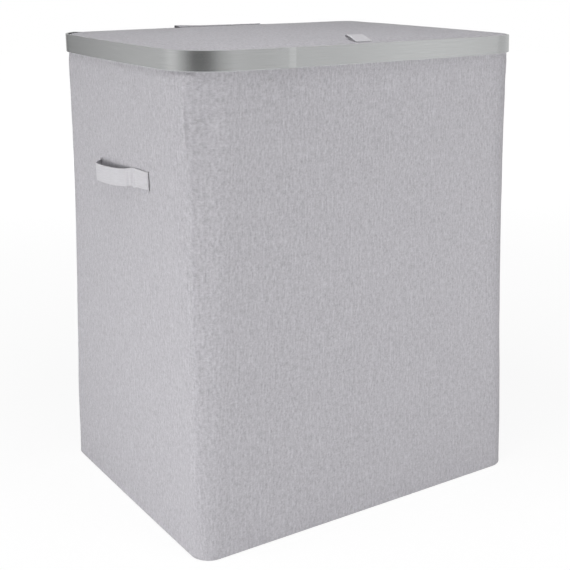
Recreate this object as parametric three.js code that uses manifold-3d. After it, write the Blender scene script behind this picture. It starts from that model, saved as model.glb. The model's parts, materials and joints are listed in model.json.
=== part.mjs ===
// Laundry hamper with two bins: a fabric sleeve on a knock-down frame of four posts,
// a two-piece aluminium band round the rim, a lid on a fabric hinge, and two fabric
// bins that stand side by side inside. Millimetres. X runs across the width, Y towards
// the back and Z up. The origin is the middle of the footprint, on the floor.

import * as THREE from 'three';
import { mergeVertices } from 'three/addons/utils/BufferGeometryUtils.js';
import Module from 'manifold-3d';

const wasm = await Module();
wasm.setup();

// Clearance that neighbouring pieces keep
const FIT_GAP = 0.3;

// Footprint of the fabric sleeve
const HEIGHT = 610;
const FOOT_WIDTH = 506;
const FOOT_DEPTH = 391;
const FOOT_CORNER_RADIUS = 30;
const FOOT_BOW = 0.5;
const FOOT_EDGE = 2.5;

// Plan of the rim, on the outer face of the band. It is a little less wide and deep than
// the foot, with rounder corners.
const SIDE_TAPER = 1;
const FRONT_TAPER = 6;
const RIM_WIDTH = FOOT_WIDTH - 2 * SIDE_TAPER;
const RIM_DEPTH = FOOT_DEPTH - 2 * FRONT_TAPER;
const RIM_CORNER_RADIUS = 62;
const RIM_FRONT_BOW = 6;
const RIM_SIDE_BOW = 2.5;

// Band: a channel of sheet, in two pieces that lap at the front and at the back
const BAND_HEIGHT = 22.5;
const BAND_SHEET = 1;
const BAND_LIP = 2.8;
const LAP_END_FROM_CENTRE = 116;
const LAP_LENGTH = 20;
const LAP_ROOT = 6;

// Cloth of the sleeve
const COVER_THICKNESS = 1.4;
const COVER_WAIST = 2;

// Frame inside the sleeve
const RIM_FRAME_WIDTH = 12;
const BASE_BOARD_THICKNESS = 4;
const POST_RADIUS = 6;
const POST_WALL = 1.2;
const SOCKET_WALL = 1.5;
const SOCKET_FLOOR = 2;
const SOCKET_HEIGHT = 24;
const SOCKET_CLEARANCE = 0.5;

// Lid
const LID_RECESS = 1;
const LID_SIDE_GAP = 1.6;
const LID_FABRIC = 1.2;
const LID_BOARD = 3;
const LID_LINING = 0.8;
const LID_CROWN = 2.5;
const LID_EDGE_ROUND = 0.8;

// Fabric hinge at the back of the lid
const FLAP_WIDTH = 146;
const FLAP_THICKNESS = 1.2;
const FLAP_DROP = 46;

// Pull tab: a ribbon folded into a flat loop
const TAB_WIDTH = 25;
const TAB_DEPTH = 25;
const TAB_HEIGHT = 9;
const TAB_RIBBON = 1.1;
const TAB_SETBACK = 12;
const TAB_FROM_MIDDLE = -9.5;

// Side handles: one ribbon each, sewn down at both ends
const HANDLE_TOP_DROP = 148;
const HANDLE_RIBBON_WIDTH = 22;
const HANDLE_RIBBON = 1.4;
const HANDLE_REAR_REACH = 54;
const HANDLE_FRONT_REACH = 82;
const HANDLE_BOW = 13;

// Bins
const BIN_HEIGHT = 524;
const BIN_CORNER_RADIUS = 42;
const BIN_BOW = 2;
const BIN_WALL = 1.6;
const BIN_FLOOR_BOARD = 3;
const BIN_SPACING = 8;
const BIN_CLEARANCE = 6;
const HOOP_DIAMETER = 6;
const HOOP_OVERHANG = 1.2;
const HOOP_CHAMFER = 1.6;

// Webbing grips of the bins
const GRIP_WIDTH = 110;
const GRIP_DROP = 42;
const GRIP_WEBBING_WIDTH = 18;
const GRIP_WEBBING = 1.6;

// Steps of the curves
const SIDE_STEPS = 6;
const FRONT_STEPS = 8;
const CORNER_STEPS = 6;
const ROUND_STEPS = 14;
const RIBBON_STEPS = 26;
const GRIP_STEPS = 8;

// Outline shares, chosen by hand
const COVER_LEVEL_SHARES = [0.2, 0.4, 0.6, 0.8];
const CROWN_RING_SHARES = [0.97, 0.8, 0.55, 0.25];
const FLAP_END_SHARE = CROWN_RING_SHARES[1];
const HANDLE_PATH_SHARES = [
  [0, 0], [0.03, 0.02], [0.055, 0.5], [0.085, 0.9], [0.14, 1], [0.24, 0.96],
  [0.38, 0.78], [0.5, 0.6], [0.6, 0.4], [0.68, 0.14], [0.76, 0.02], [0.88, 0], [1, 0],
];
const TAB_PATH_SHARES = [
  [0, 0], [0.4, 0], [0.75, 0], [0.94, 0.16], [1, 0.5], [0.92, 0.86],
  [0.76, 1], [0.5, 0.84], [0.22, 0.48], [0, 0.24],
];

const fabricFinish = () => finish(0xb9b7bc, 0.95, 0);
const ribbonFinish = () => finish(0xcfcdd2, 0.85, 0);
const liningFinish = () => finish(0xc9c8cb, 0.95, 0);
const bandFinish = () => finish(0xa5a6a8, 0.35, 0.9);
const boardFinish = () => finish(0x9c948a, 0.9, 0);
const plasticFinish = () => finish(0x4a4b4e, 0.55, 0);
const steelFinish = () => finish(0x8d9093, 0.4, 0.8);

function finish(color, roughness, metalness) {
  return new THREE.MeshStandardMaterial({ color, roughness, metalness });
}

// Plans: rounded rectangles whose sides bow out and run into their corners without a kink

const rimPlan = {
  width: RIM_WIDTH,
  depth: RIM_DEPTH,
  radius: RIM_CORNER_RADIUS,
  frontBow: RIM_FRONT_BOW,
  sideBow: RIM_SIDE_BOW,
};

function insetPlan(plan, inset) {
  return {
    ...plan,
    width: plan.width - 2 * inset,
    depth: plan.depth - 2 * inset,
    radius: plan.radius - inset,
  };
}

function mixPlans(from, to, share) {
  const mixed = {};
  for (const key of Object.keys(from)) {
    mixed[key] = THREE.MathUtils.lerp(from[key], to[key], share);
  }
  return mixed;
}

// Radius of the long arc that bows out between two corner arcs
function bowRadius(halfRun, bow, radius) {
  return (halfRun ** 2 + bow ** 2 + 2 * bow * radius) / (2 * bow);
}

function planArcs(plan) {
  const cornerX = plan.width / 2 - plan.radius;
  const cornerY = plan.depth / 2 - plan.radius;
  const frontRadius = bowRadius(cornerX, plan.frontBow, plan.radius);
  const sideRadius = bowRadius(cornerY, plan.sideBow, plan.radius);
  const frontCentre = plan.depth / 2 + plan.frontBow - frontRadius;
  const sideCentre = plan.width / 2 + plan.sideBow - sideRadius;
  return {
    cornerX,
    cornerY,
    frontRadius,
    sideRadius,
    frontCentre,
    sideCentre,
    frontAngle: Math.atan2(cornerX, cornerY - frontCentre),
    sideAngle: Math.atan2(cornerY, cornerX - sideCentre),
  };
}

function addArc(path, x, y, radius, from, to, steps) {
  for (let i = 0; i < steps; i++) {
    const angle = from + ((to - from) * i) / steps;
    const nx = Math.cos(angle);
    const ny = Math.sin(angle);
    path.push({ x: x + radius * nx, y: y + radius * ny, nx, ny });
  }
}

// Points of a plan, anticlockwise from the right side, each with its outward normal
function planPath(plan) {
  const a = planArcs(plan);
  const path = [];
  const quarter = Math.PI / 2;
  for (const half of [0, 2 * quarter]) {
    const sign = half ? -1 : 1;
    addArc(path, sign * a.sideCentre, 0, a.sideRadius, half - a.sideAngle,
      half + a.sideAngle, SIDE_STEPS);
    addArc(path, sign * a.cornerX, sign * a.cornerY, plan.radius, half + a.sideAngle,
      half + quarter - a.frontAngle, CORNER_STEPS);
    addArc(path, 0, sign * a.frontCentre, a.frontRadius, half + quarter - a.frontAngle,
      half + quarter + a.frontAngle, FRONT_STEPS);
    addArc(path, -sign * a.cornerX, sign * a.cornerY, plan.radius,
      half + quarter + a.frontAngle, half + 2 * quarter - a.sideAngle, CORNER_STEPS);
  }
  return path;
}

function ring(path, inset, z) {
  return path.map((p) => new THREE.Vector3(p.x - inset * p.nx, p.y - inset * p.ny, z));
}

// Solids

// Skin over rings of equal length, closed on itself or with a flat cap at each end
function skin(rings, closed, flatten) {
  const count = rings[0].length;
  const index = [];
  const spans = closed ? rings.length : rings.length - 1;
  for (let i = 0; i < spans; i++) {
    const a = i * count;
    const b = ((i + 1) % rings.length) * count;
    for (let j = 0; j < count; j++) {
      const k = (j + 1) % count;
      index.push(a + j, a + k, b + k, a + j, b + k, b + j);
    }
  }
  if (!closed) {
    const last = (rings.length - 1) * count;
    const outline = rings[0].map(flatten);
    const capTurn = THREE.ShapeUtils.isClockWise(outline) ? 1 : -1;
    for (const [i, j, k] of THREE.ShapeUtils.triangulateShape(outline, [])) {
      const turned = capTurn * windingOf(outline, i, j, k) > 0;
      const [p, q] = turned ? [j, k] : [k, j];
      index.push(i, p, q, last + i, last + q, last + p);
    }
  }
  const geometry = new THREE.BufferGeometry();
  const positions = rings.flat().flatMap((p) => [p.x, p.y, p.z]);
  geometry.setAttribute('position', new THREE.Float32BufferAttribute(positions, 3));
  geometry.setIndex(signedVolume(positions, index) < 0 ? index.reverse() : index);
  return geometry;
}

function windingOf(outline, i, j, k) {
  const a = outline[i];
  const b = outline[j];
  const c = outline[k];
  return (b.x - a.x) * (c.y - a.y) - (b.y - a.y) * (c.x - a.x);
}

function signedVolume(positions, index) {
  const corner = (n) => new THREE.Vector3().fromArray(positions, 3 * index[n]);
  let sum = 0;
  for (let n = 0; n < index.length; n += 3) {
    sum += corner(n).dot(corner(n + 1).cross(corner(n + 2)));
  }
  return sum;
}

const seenFromAbove = (p) => new THREE.Vector2(p.x, p.y);

// Section of [inset, z] points carried round a path, closed or with two flat ends
function sweep(path, section, closed) {
  const rings = path.map((p) => section.map(
    ([inset, z]) => new THREE.Vector3(p.x - inset * p.nx, p.y - inset * p.ny, z)));
  const first = path[0];
  const inSection = (p) => new THREE.Vector2(
    (first.x - p.x) * first.nx + (first.y - p.y) * first.ny, p.z);
  return skin(rings, closed, inSection);
}

// Flat plate on a plan, from one height to another
function plate(plan, bottom, top) {
  const path = planPath(plan);
  return skin([ring(path, 0, bottom), ring(path, 0, top)], false, seenFromAbove);
}

function extrude(points, depth, holes = []) {
  const shape = new THREE.Shape(points);
  shape.holes = holes.map((hole) => new THREE.Path(hole));
  return new THREE.ExtrudeGeometry(shape, { depth, bevelEnabled: false });
}

// Plan of a ribbon that follows a curve through the points
function ribbonOutline(points, thickness) {
  const curve = new THREE.SplineCurve(points);
  const left = [];
  const right = [];
  for (let i = 0; i <= RIBBON_STEPS; i++) {
    const share = i / RIBBON_STEPS;
    const place = curve.getPoint(share);
    const along = curve.getTangent(share);
    const side = new THREE.Vector2(-along.y, along.x).multiplyScalar(thickness / 2);
    left.push(place.clone().add(side));
    right.unshift(place.clone().sub(side));
  }
  return [...left, ...right];
}

function toManifold(geometry) {
  const bare = geometry.clone();
  bare.deleteAttribute('normal');
  bare.deleteAttribute('uv');
  const merged = mergeVertices(bare);
  return new wasm.Manifold(new wasm.Mesh({
    numProp: 3,
    vertProperties: new Float32Array(merged.attributes.position.array),
    triVerts: new Uint32Array(merged.index.array),
  }));
}

function joined(...geometries) {
  const solid = geometries.map(toManifold).reduce((sum, next) => sum.add(next));
  const mesh = solid.getMesh();
  const geometry = new THREE.BufferGeometry();
  geometry.setAttribute('position', new THREE.Float32BufferAttribute(mesh.vertProperties, 3));
  geometry.setIndex([...mesh.triVerts]);
  return geometry;
}

const hamper = new THREE.Group();

function add(name, geometry, material) {
  const mesh = new THREE.Mesh(geometry, material);
  mesh.name = name;
  hamper.add(mesh);
  return mesh;
}

// Heights and insets that several pieces share

const bandBottom = HEIGHT - BAND_HEIGHT;
const lidTop = HEIGHT - LID_RECESS;
const boardTop = lidTop - LID_FABRIC - FIT_GAP;
const boardBottom = boardTop - LID_BOARD;
const liningTop = boardBottom - FIT_GAP;
const lidBottom = liningTop - LID_LINING;
const seatZ = lidBottom - FIT_GAP;
const coverInset = BAND_LIP + FIT_GAP;
const frameInset = coverInset + COVER_THICKNESS + FIT_GAP;
const lidInset = BAND_LIP + LID_SIDE_GAP;
const frameBottom = bandBottom + BAND_SHEET + FIT_GAP;
const rimBackY = RIM_DEPTH / 2 + RIM_FRONT_BOW;

// Band

const bandSection = [
  [0, bandBottom],
  [0, HEIGHT],
  [BAND_LIP, HEIGHT],
  [BAND_LIP, HEIGHT - BAND_SHEET],
  [BAND_SHEET, HEIGHT - BAND_SHEET],
  [BAND_SHEET, bandBottom + BAND_SHEET],
  [BAND_LIP, bandBottom + BAND_SHEET],
  [BAND_LIP, bandBottom],
];

// Point of the rim's front arc at one place across the width
function frontPoint(x) {
  const a = planArcs(rimPlan);
  const nx = x / a.frontRadius;
  const ny = -Math.sqrt(1 - nx ** 2);
  return { x, y: a.frontRadius * ny - a.frontCentre, nx, ny };
}

// Front arc between two places, split evenly
function frontRun(fromX, toX, steps) {
  const run = [];
  for (let i = 0; i <= steps; i++) {
    run.push(frontPoint(THREE.MathUtils.lerp(fromX, toX, i / steps)));
  }
  return run;
}

const turnHalf = (p) => ({ x: -p.x, y: -p.y, nx: -p.nx, ny: -p.ny });

// The left piece runs from the lap at the back, round the left side, to the lap at the
// front. Its front end lies over the right piece, and the right piece is the same shape
// turned half a turn.
function bandPiece() {
  const lapEnd = -LAP_END_FROM_CENTRE;
  const lapStart = lapEnd - LAP_LENGTH;
  const rim = planPath(rimPlan);
  const isFront = (p) => p.y < -planArcs(rimPlan).cornerY && p.ny < 0;
  const isBack = (p) => p.y > planArcs(rimPlan).cornerY && p.ny > 0;
  const backEnd = turnHalf(frontPoint(lapStart + FIT_GAP));
  const round = rim.filter((p) => {
    if (isFront(p)) return p.x < lapStart - LAP_ROOT;
    if (isBack(p)) return p.x < backEnd.x;
    return p.x < 0;
  });
  const channel = sweep([backEnd, ...round, frontPoint(lapStart)], bandSection, false);
  const outer = -FIT_GAP - BAND_SHEET;
  const root = sweep(frontRun(lapStart - LAP_ROOT, lapStart, 1), [
    [outer, bandBottom],
    [outer, HEIGHT],
    [BAND_SHEET, HEIGHT],
    [BAND_SHEET, bandBottom],
  ], false);
  const tongue = sweep(frontRun(lapStart - LAP_ROOT, lapEnd, 3), [
    [outer, bandBottom],
    [outer, HEIGHT],
    [-FIT_GAP, HEIGHT],
    [-FIT_GAP, bandBottom],
  ], false);
  return joined(channel, root, tongue);
}

add('rim_band_left', bandPiece(), bandFinish());
add('rim_band_right', bandPiece().rotateZ(Math.PI), bandFinish());

// Fabric sleeve

const footPlan = {
  width: FOOT_WIDTH,
  depth: FOOT_DEPTH,
  radius: FOOT_CORNER_RADIUS,
  frontBow: FOOT_BOW,
  sideBow: FOOT_BOW,
};
const neckPlan = insetPlan(rimPlan, coverInset);

// Outer face of the sleeve at one height: the foot's plan turns into the rim's plan, and
// the cloth is drawn in a little half way up
function coverPlan(z) {
  const share = THREE.MathUtils.clamp(z / bandBottom, 0, 1);
  const waist = COVER_WAIST * 4 * share * (1 - share);
  return insetPlan(mixPlans(footPlan, neckPlan, share), waist);
}

function outerCover() {
  const heights = COVER_LEVEL_SHARES.map((share) => share * bandBottom);
  const wall = [FOOT_EDGE, ...heights, bandBottom, seatZ];
  const inner = [COVER_THICKNESS + FOOT_EDGE, ...heights, bandBottom, seatZ];
  const rings = [];
  rings.push(ring(planPath(coverPlan(0)), COVER_THICKNESS + FOOT_EDGE, COVER_THICKNESS));
  for (const z of inner) rings.push(ring(planPath(coverPlan(z)), COVER_THICKNESS, z));
  for (const z of wall.reverse()) rings.push(ring(planPath(coverPlan(z)), 0, z));
  rings.push(ring(planPath(coverPlan(0)), FOOT_EDGE, 0));
  return skin(rings, false, seenFromAbove);
}

add('outer_cover', outerCover(), fabricFinish());

// Frame: a hoop under the lid, a board on the floor of the sleeve, and four posts

add('rim_frame', sweep(planPath(rimPlan), [
  [frameInset, frameBottom],
  [frameInset, seatZ],
  [frameInset + RIM_FRAME_WIDTH, seatZ],
  [frameInset + RIM_FRAME_WIDTH, frameBottom],
], true), plasticFinish());

const boardInset = COVER_THICKNESS + FOOT_EDGE + FIT_GAP;
const baseBoardBottom = COVER_THICKNESS + FIT_GAP;
const baseBoardTop = baseBoardBottom + BASE_BOARD_THICKNESS;
add('base_board', plate(insetPlan(coverPlan(0), boardInset), baseBoardBottom, baseBoardTop),
  boardFinish());

const socketInner = POST_RADIUS + FIT_GAP;
const socketOuter = socketInner + SOCKET_WALL;

function socket() {
  const profile = [
    [0, 0],
    [socketOuter, 0],
    [socketOuter, SOCKET_HEIGHT],
    [socketInner, SOCKET_HEIGHT],
    [socketInner, SOCKET_FLOOR],
    [0, SOCKET_FLOOR],
  ].map(([r, z]) => new THREE.Vector2(r, z));
  return new THREE.LatheGeometry(profile, ROUND_STEPS).rotateX(Math.PI / 2);
}

function post(length) {
  const inner = POST_RADIUS - POST_WALL;
  const profile = [
    [inner, 0],
    [POST_RADIUS, 0],
    [POST_RADIUS, length],
    [inner, length],
    [inner, 0],
  ].map(([r, z]) => new THREE.Vector2(r, z));
  return new THREE.LatheGeometry(profile, ROUND_STEPS).rotateX(Math.PI / 2);
}

const rimArcs = planArcs(rimPlan);
const postInset = coverInset + COVER_THICKNESS + SOCKET_CLEARANCE + socketOuter;
const postReach = (RIM_CORNER_RADIUS - postInset) * Math.SQRT1_2;
const postX = rimArcs.cornerX + postReach;
const postY = rimArcs.cornerY + postReach;
const footSocketZ = baseBoardTop + FIT_GAP;
const headSocketZ = frameBottom - FIT_GAP;
const postZ = footSocketZ + SOCKET_FLOOR + FIT_GAP;
const postLength = headSocketZ - SOCKET_FLOOR - FIT_GAP - postZ;

for (const [place, x, y] of [
  ['front_left', -postX, -postY],
  ['front_right', postX, -postY],
  ['rear_left', -postX, postY],
  ['rear_right', postX, postY],
]) {
  add(`post_${place}`, post(postLength), steelFinish()).position.set(x, y, postZ);
  add(`foot_socket_${place}`, socket(), plasticFinish()).position.set(x, y, footSocketZ);
  const head = add(`head_socket_${place}`, socket(), plasticFinish());
  head.rotation.x = Math.PI;
  head.position.set(x, y, headSocketZ);
}

// Lid: a board between a crowned fabric top and a lining

// Height of the lid's top on a ring whose plan is this share of the lid's own
const crownHeight = (share) => lidTop + LID_CROWN * (1 - share ** 2);

// Height of the lid's top between two rings, as its straight facets have it
function lidHeight(share) {
  const shares = [1, ...CROWN_RING_SHARES];
  const next = shares.findIndex((s) => s <= share);
  if (next <= 0) return crownHeight(share);
  const [near, far] = [shares[next - 1], shares[next]];
  const part = (near - share) / (near - far);
  return THREE.MathUtils.lerp(crownHeight(near), crownHeight(far), part);
}

function lidCover() {
  const path = planPath(rimPlan);
  const edge = ring(path, lidInset + LID_EDGE_ROUND, lidTop);
  const scaled = (share) => edge.map(
    (p) => new THREE.Vector3(p.x * share, p.y * share, crownHeight(share)));
  const rings = [
    ring(path, lidInset + LID_FABRIC, lidTop - LID_FABRIC),
    ring(path, lidInset + LID_FABRIC, lidBottom),
    ring(path, lidInset, lidBottom),
    ring(path, lidInset, lidTop - LID_EDGE_ROUND),
    edge,
    ...CROWN_RING_SHARES.map(scaled),
  ];
  return skin(rings, false, seenFromAbove);
}

const lidInnerPlan = insetPlan(rimPlan, lidInset + LID_FABRIC + FIT_GAP);
add('lid_cover', lidCover(), fabricFinish());
add('lid_board', plate(lidInnerPlan, boardBottom, boardTop), boardFinish());
add('lid_lining', plate(lidInnerPlan, lidBottom, liningTop), liningFinish());

// Hinge flap: one strip of fabric over the back rim, made as the leaf on the sleeve and
// the leaf on the lid, which fold about the line between them

const sectionAcross = new THREE.Matrix4().makeBasis(
  new THREE.Vector3(0, 1, 0), new THREE.Vector3(0, 0, 1), new THREE.Vector3(1, 0, 0));

// Outline of [y, z] points, extruded across the width and centred
function acrossWidth(points, width) {
  const outline = points.map(([y, z]) => new THREE.Vector2(y, z));
  const geometry = extrude(outline, width).translate(0, 0, -width / 2);
  return geometry.applyMatrix4(sectionAcross);
}

const flapInnerY = rimBackY + FIT_GAP;
const flapOuterY = flapInnerY + FLAP_THICKNESS;
const flapUnderZ = HEIGHT + FIT_GAP;

function rimLeaf() {
  const bottom = HEIGHT - FLAP_DROP;
  const stepTop = bandBottom - FIT_GAP;
  const stepDrop = coverInset + FLAP_THICKNESS;
  const wallY = (z) => {
    const plan = coverPlan(z);
    return plan.depth / 2 + plan.frontBow + FIT_GAP;
  };
  const inner = [
    [flapInnerY, HEIGHT - FIT_GAP],
    [flapInnerY, stepTop],
    [wallY(stepTop - stepDrop), stepTop - stepDrop],
    [wallY(bottom), bottom],
  ];
  const outer = inner.map(([y, z]) => [y + FLAP_THICKNESS, z]).reverse();
  return acrossWidth([...inner, ...outer], FLAP_WIDTH);
}

function lidLeaf() {
  const edgeY = rimBackY - lidInset - LID_EDGE_ROUND;
  const onLid = [CROWN_RING_SHARES[0], FLAP_END_SHARE].map(
    (share) => [edgeY * share, crownHeight(share) + FIT_GAP]);
  const under = [
    [flapOuterY, flapUnderZ],
    [rimBackY - BAND_LIP, flapUnderZ],
    ...onLid,
  ];
  const over = under.map(([y, z]) => [y, z + FLAP_THICKNESS]).reverse();
  return acrossWidth([...under, ...over], FLAP_WIDTH);
}

add('hinge_flap_rim', rimLeaf(), fabricFinish());
add('hinge_flap_lid', lidLeaf(), fabricFinish());

// Pull tab near the middle of the lid's front edge

function pullTab() {
  const edgeY = rimBackY - lidInset - LID_EDGE_ROUND;
  const frontY = TAB_SETBACK - edgeY;
  const backShare = (edgeY - TAB_SETBACK - TAB_DEPTH) / edgeY;
  const bottom = lidHeight(backShare) + FIT_GAP + TAB_RIBBON / 2;
  const rise = TAB_HEIGHT - TAB_RIBBON;
  const line = TAB_PATH_SHARES.map(([along, up]) => new THREE.Vector2(
    frontY + along * (TAB_DEPTH - TAB_RIBBON / 2), bottom + up * rise));
  const outline = ribbonOutline(line, TAB_RIBBON).map((p) => [p.x, p.y]);
  return acrossWidth(outline, TAB_WIDTH).translate(TAB_FROM_MIDDLE, 0, 0);
}

add('pull_tab', pullTab(), ribbonFinish());

// Side handles

// Outer face of the sleeve's side wall at one height
function sideWallX(z, y) {
  const a = planArcs(coverPlan(z));
  return a.sideCentre + Math.sqrt(a.sideRadius ** 2 - y ** 2);
}

function sideHandle(side) {
  const top = HEIGHT - HANDLE_TOP_DROP;
  const bottom = top - HANDLE_RIBBON_WIDTH;
  const line = HANDLE_PATH_SHARES.map(([along, out]) => {
    const y = THREE.MathUtils.lerp(HANDLE_REAR_REACH, -HANDLE_FRONT_REACH, along);
    const wall = Math.max(sideWallX(top, y), sideWallX(bottom, y));
    const stand = FIT_GAP + HANDLE_RIBBON / 2 + out * (HANDLE_BOW - HANDLE_RIBBON);
    return new THREE.Vector2(side * (wall + stand), y);
  });
  const geometry = extrude(ribbonOutline(line, HANDLE_RIBBON), HANDLE_RIBBON_WIDTH);
  return geometry.translate(0, 0, bottom);
}

add('side_handle_left', sideHandle(-1), ribbonFinish());
add('side_handle_right', sideHandle(1), ribbonFinish());

// Bins: each is a fabric bag with a hoop in its hem, a floor board and two grips

const mouthInset = frameInset + RIM_FRAME_WIDTH + BIN_CLEARANCE;
const binWidth = (RIM_WIDTH - 2 * mouthInset - BIN_SPACING) / 2;
const binDepth = RIM_DEPTH - 2 * mouthInset;
const binX = (binWidth + BIN_SPACING) / 2;
const binZ = baseBoardTop + FIT_GAP;
const binPlan = {
  width: binWidth,
  depth: binDepth,
  radius: BIN_CORNER_RADIUS,
  frontBow: BIN_BOW,
  sideBow: BIN_BOW,
};

function binBag() {
  const top = BIN_HEIGHT - HOOP_DIAMETER - FIT_GAP;
  const path = planPath(binPlan);
  const rings = [
    ring(path, BIN_WALL, BIN_WALL),
    ring(path, BIN_WALL, top),
    ring(path, 0, top),
    ring(path, 0, 0),
  ];
  return skin(rings, false, seenFromAbove);
}

function binHoop() {
  const low = BIN_HEIGHT - HOOP_DIAMETER;
  const outer = -HOOP_OVERHANG;
  const inner = HOOP_DIAMETER - HOOP_OVERHANG;
  return sweep(planPath(binPlan), [
    [outer, low + HOOP_CHAMFER],
    [outer, BIN_HEIGHT - HOOP_CHAMFER],
    [outer + HOOP_CHAMFER, BIN_HEIGHT],
    [inner - HOOP_CHAMFER, BIN_HEIGHT],
    [inner, BIN_HEIGHT - HOOP_CHAMFER],
    [inner, low + HOOP_CHAMFER],
    [inner - HOOP_CHAMFER, low],
    [outer + HOOP_CHAMFER, low],
  ], true);
}

function binFloor() {
  const clear = BIN_WALL + FIT_GAP;
  return plate(insetPlan(binPlan, clear), clear, clear + BIN_FLOOR_BOARD);
}

// A loop of webbing that hangs inside the back wall from its two sewn ends
function binGrip() {
  const radius = GRIP_DROP / 2;
  const half = GRIP_WIDTH / 2;
  const loop = (inset) => {
    const bend = new THREE.Path();
    bend.moveTo(half - inset, 0);
    bend.absarc(half - radius, -radius, radius - inset, 0, -Math.PI / 2, true);
    bend.absarc(radius - half, -radius, radius - inset, -Math.PI / 2, -Math.PI, true);
    bend.lineTo(inset - half, 0);
    return bend.getPoints(GRIP_STEPS);
  };
  const outline = [...loop(0), ...loop(GRIP_WEBBING_WIDTH).reverse()];
  return extrude(outline, GRIP_WEBBING).rotateX(Math.PI / 2);
}

// The grips hang against the hoop where their ends are sewn to it, on its bowed run
const binArcs = planArcs(binPlan);
const hoopInnerRadius = binArcs.frontRadius - HOOP_DIAMETER + HOOP_OVERHANG;
const hoopInnerY = binArcs.frontCentre + Math.sqrt(hoopInnerRadius ** 2 - (GRIP_WIDTH / 2) ** 2);
const gripY = hoopInnerY - FIT_GAP;
const gripZ = BIN_HEIGHT + FIT_GAP;

for (const [side, x] of [['left', -binX], ['right', binX]]) {
  const place = (mesh) => mesh.position.set(x, 0, binZ);
  place(add(`bin_bag_${side}`, binBag(), liningFinish()));
  place(add(`bin_hoop_${side}`, binHoop(), liningFinish()));
  place(add(`bin_floor_${side}`, binFloor(), boardFinish()));
  for (const [end, turn] of [['front', Math.PI], ['rear', 0]]) {
    const grip = add(`bin_grip_${side}_${end}`, binGrip(), ribbonFinish());
    const y = (end === 'rear' ? 1 : -1) * gripY;
    grip.rotation.z = turn;
    grip.position.set(x, y, binZ + gripZ);
  }
}

// The flap stands out at the back, so the whole is moved to centre its box on the origin
const reach = new THREE.Box3().setFromObject(hamper, true);
hamper.position.y = -(reach.min.y + reach.max.y) / 2;

export default hamper;
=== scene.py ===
# Laundry hamper with two bins, dressed in heathered cloth, ribbon and brushed aluminium.
# Lengths are metres. X runs across the width, Y towards the back and Z up.

import json
import math

import bmesh
import bpy
from mathutils import Matrix, Vector, noise


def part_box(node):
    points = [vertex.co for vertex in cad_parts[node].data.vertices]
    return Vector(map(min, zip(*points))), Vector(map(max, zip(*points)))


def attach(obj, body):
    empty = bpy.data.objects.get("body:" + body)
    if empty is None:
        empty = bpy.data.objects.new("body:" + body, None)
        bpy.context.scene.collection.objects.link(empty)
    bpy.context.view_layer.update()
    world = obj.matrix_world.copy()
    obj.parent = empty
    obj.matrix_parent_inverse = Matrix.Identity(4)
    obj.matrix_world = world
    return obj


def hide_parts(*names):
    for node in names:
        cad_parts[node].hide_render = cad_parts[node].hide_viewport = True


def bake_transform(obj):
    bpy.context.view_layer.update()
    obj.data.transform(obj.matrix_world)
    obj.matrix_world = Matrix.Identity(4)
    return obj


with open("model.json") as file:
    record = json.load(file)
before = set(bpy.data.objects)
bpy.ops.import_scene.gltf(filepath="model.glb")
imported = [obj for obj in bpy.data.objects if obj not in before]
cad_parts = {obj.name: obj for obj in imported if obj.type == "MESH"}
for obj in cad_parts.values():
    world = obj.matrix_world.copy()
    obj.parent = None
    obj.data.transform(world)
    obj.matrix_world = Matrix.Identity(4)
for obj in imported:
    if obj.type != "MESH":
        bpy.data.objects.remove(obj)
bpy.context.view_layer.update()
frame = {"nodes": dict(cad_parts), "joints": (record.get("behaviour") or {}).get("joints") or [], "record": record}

bl_info = {
    "name": "Laundry Hamper",
    "version": (1, 0, 0),
    "blender": (4, 5, 0),
    "location": "3D View > Sidebar > Hamper",
    "description": "Cloth, ribbon and metal pieces of a laundry hamper with two bins",
    "category": "Object",
}

MM = 0.001


# Places read from the frame

BOXES = {name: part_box(name) for name in frame["nodes"]}


def low(node):
    return BOXES[node][0]


def high(node):
    return BOXES[node][1]


CENTRE_Y = (low("rim_frame").y + high("rim_frame").y) / 2
CENTRE = Vector((0, CENTRE_Y, 0))
RIM_TOP = high("rim_band_left").z
BAND_BOTTOM = low("rim_band_left").z
SEAT = high("outer_cover").z
LID_TOP = high("lid_cover").z
LID_BOTTOM = low("lid_cover").z
FRONT_Y = low("rim_frame").y


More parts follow.
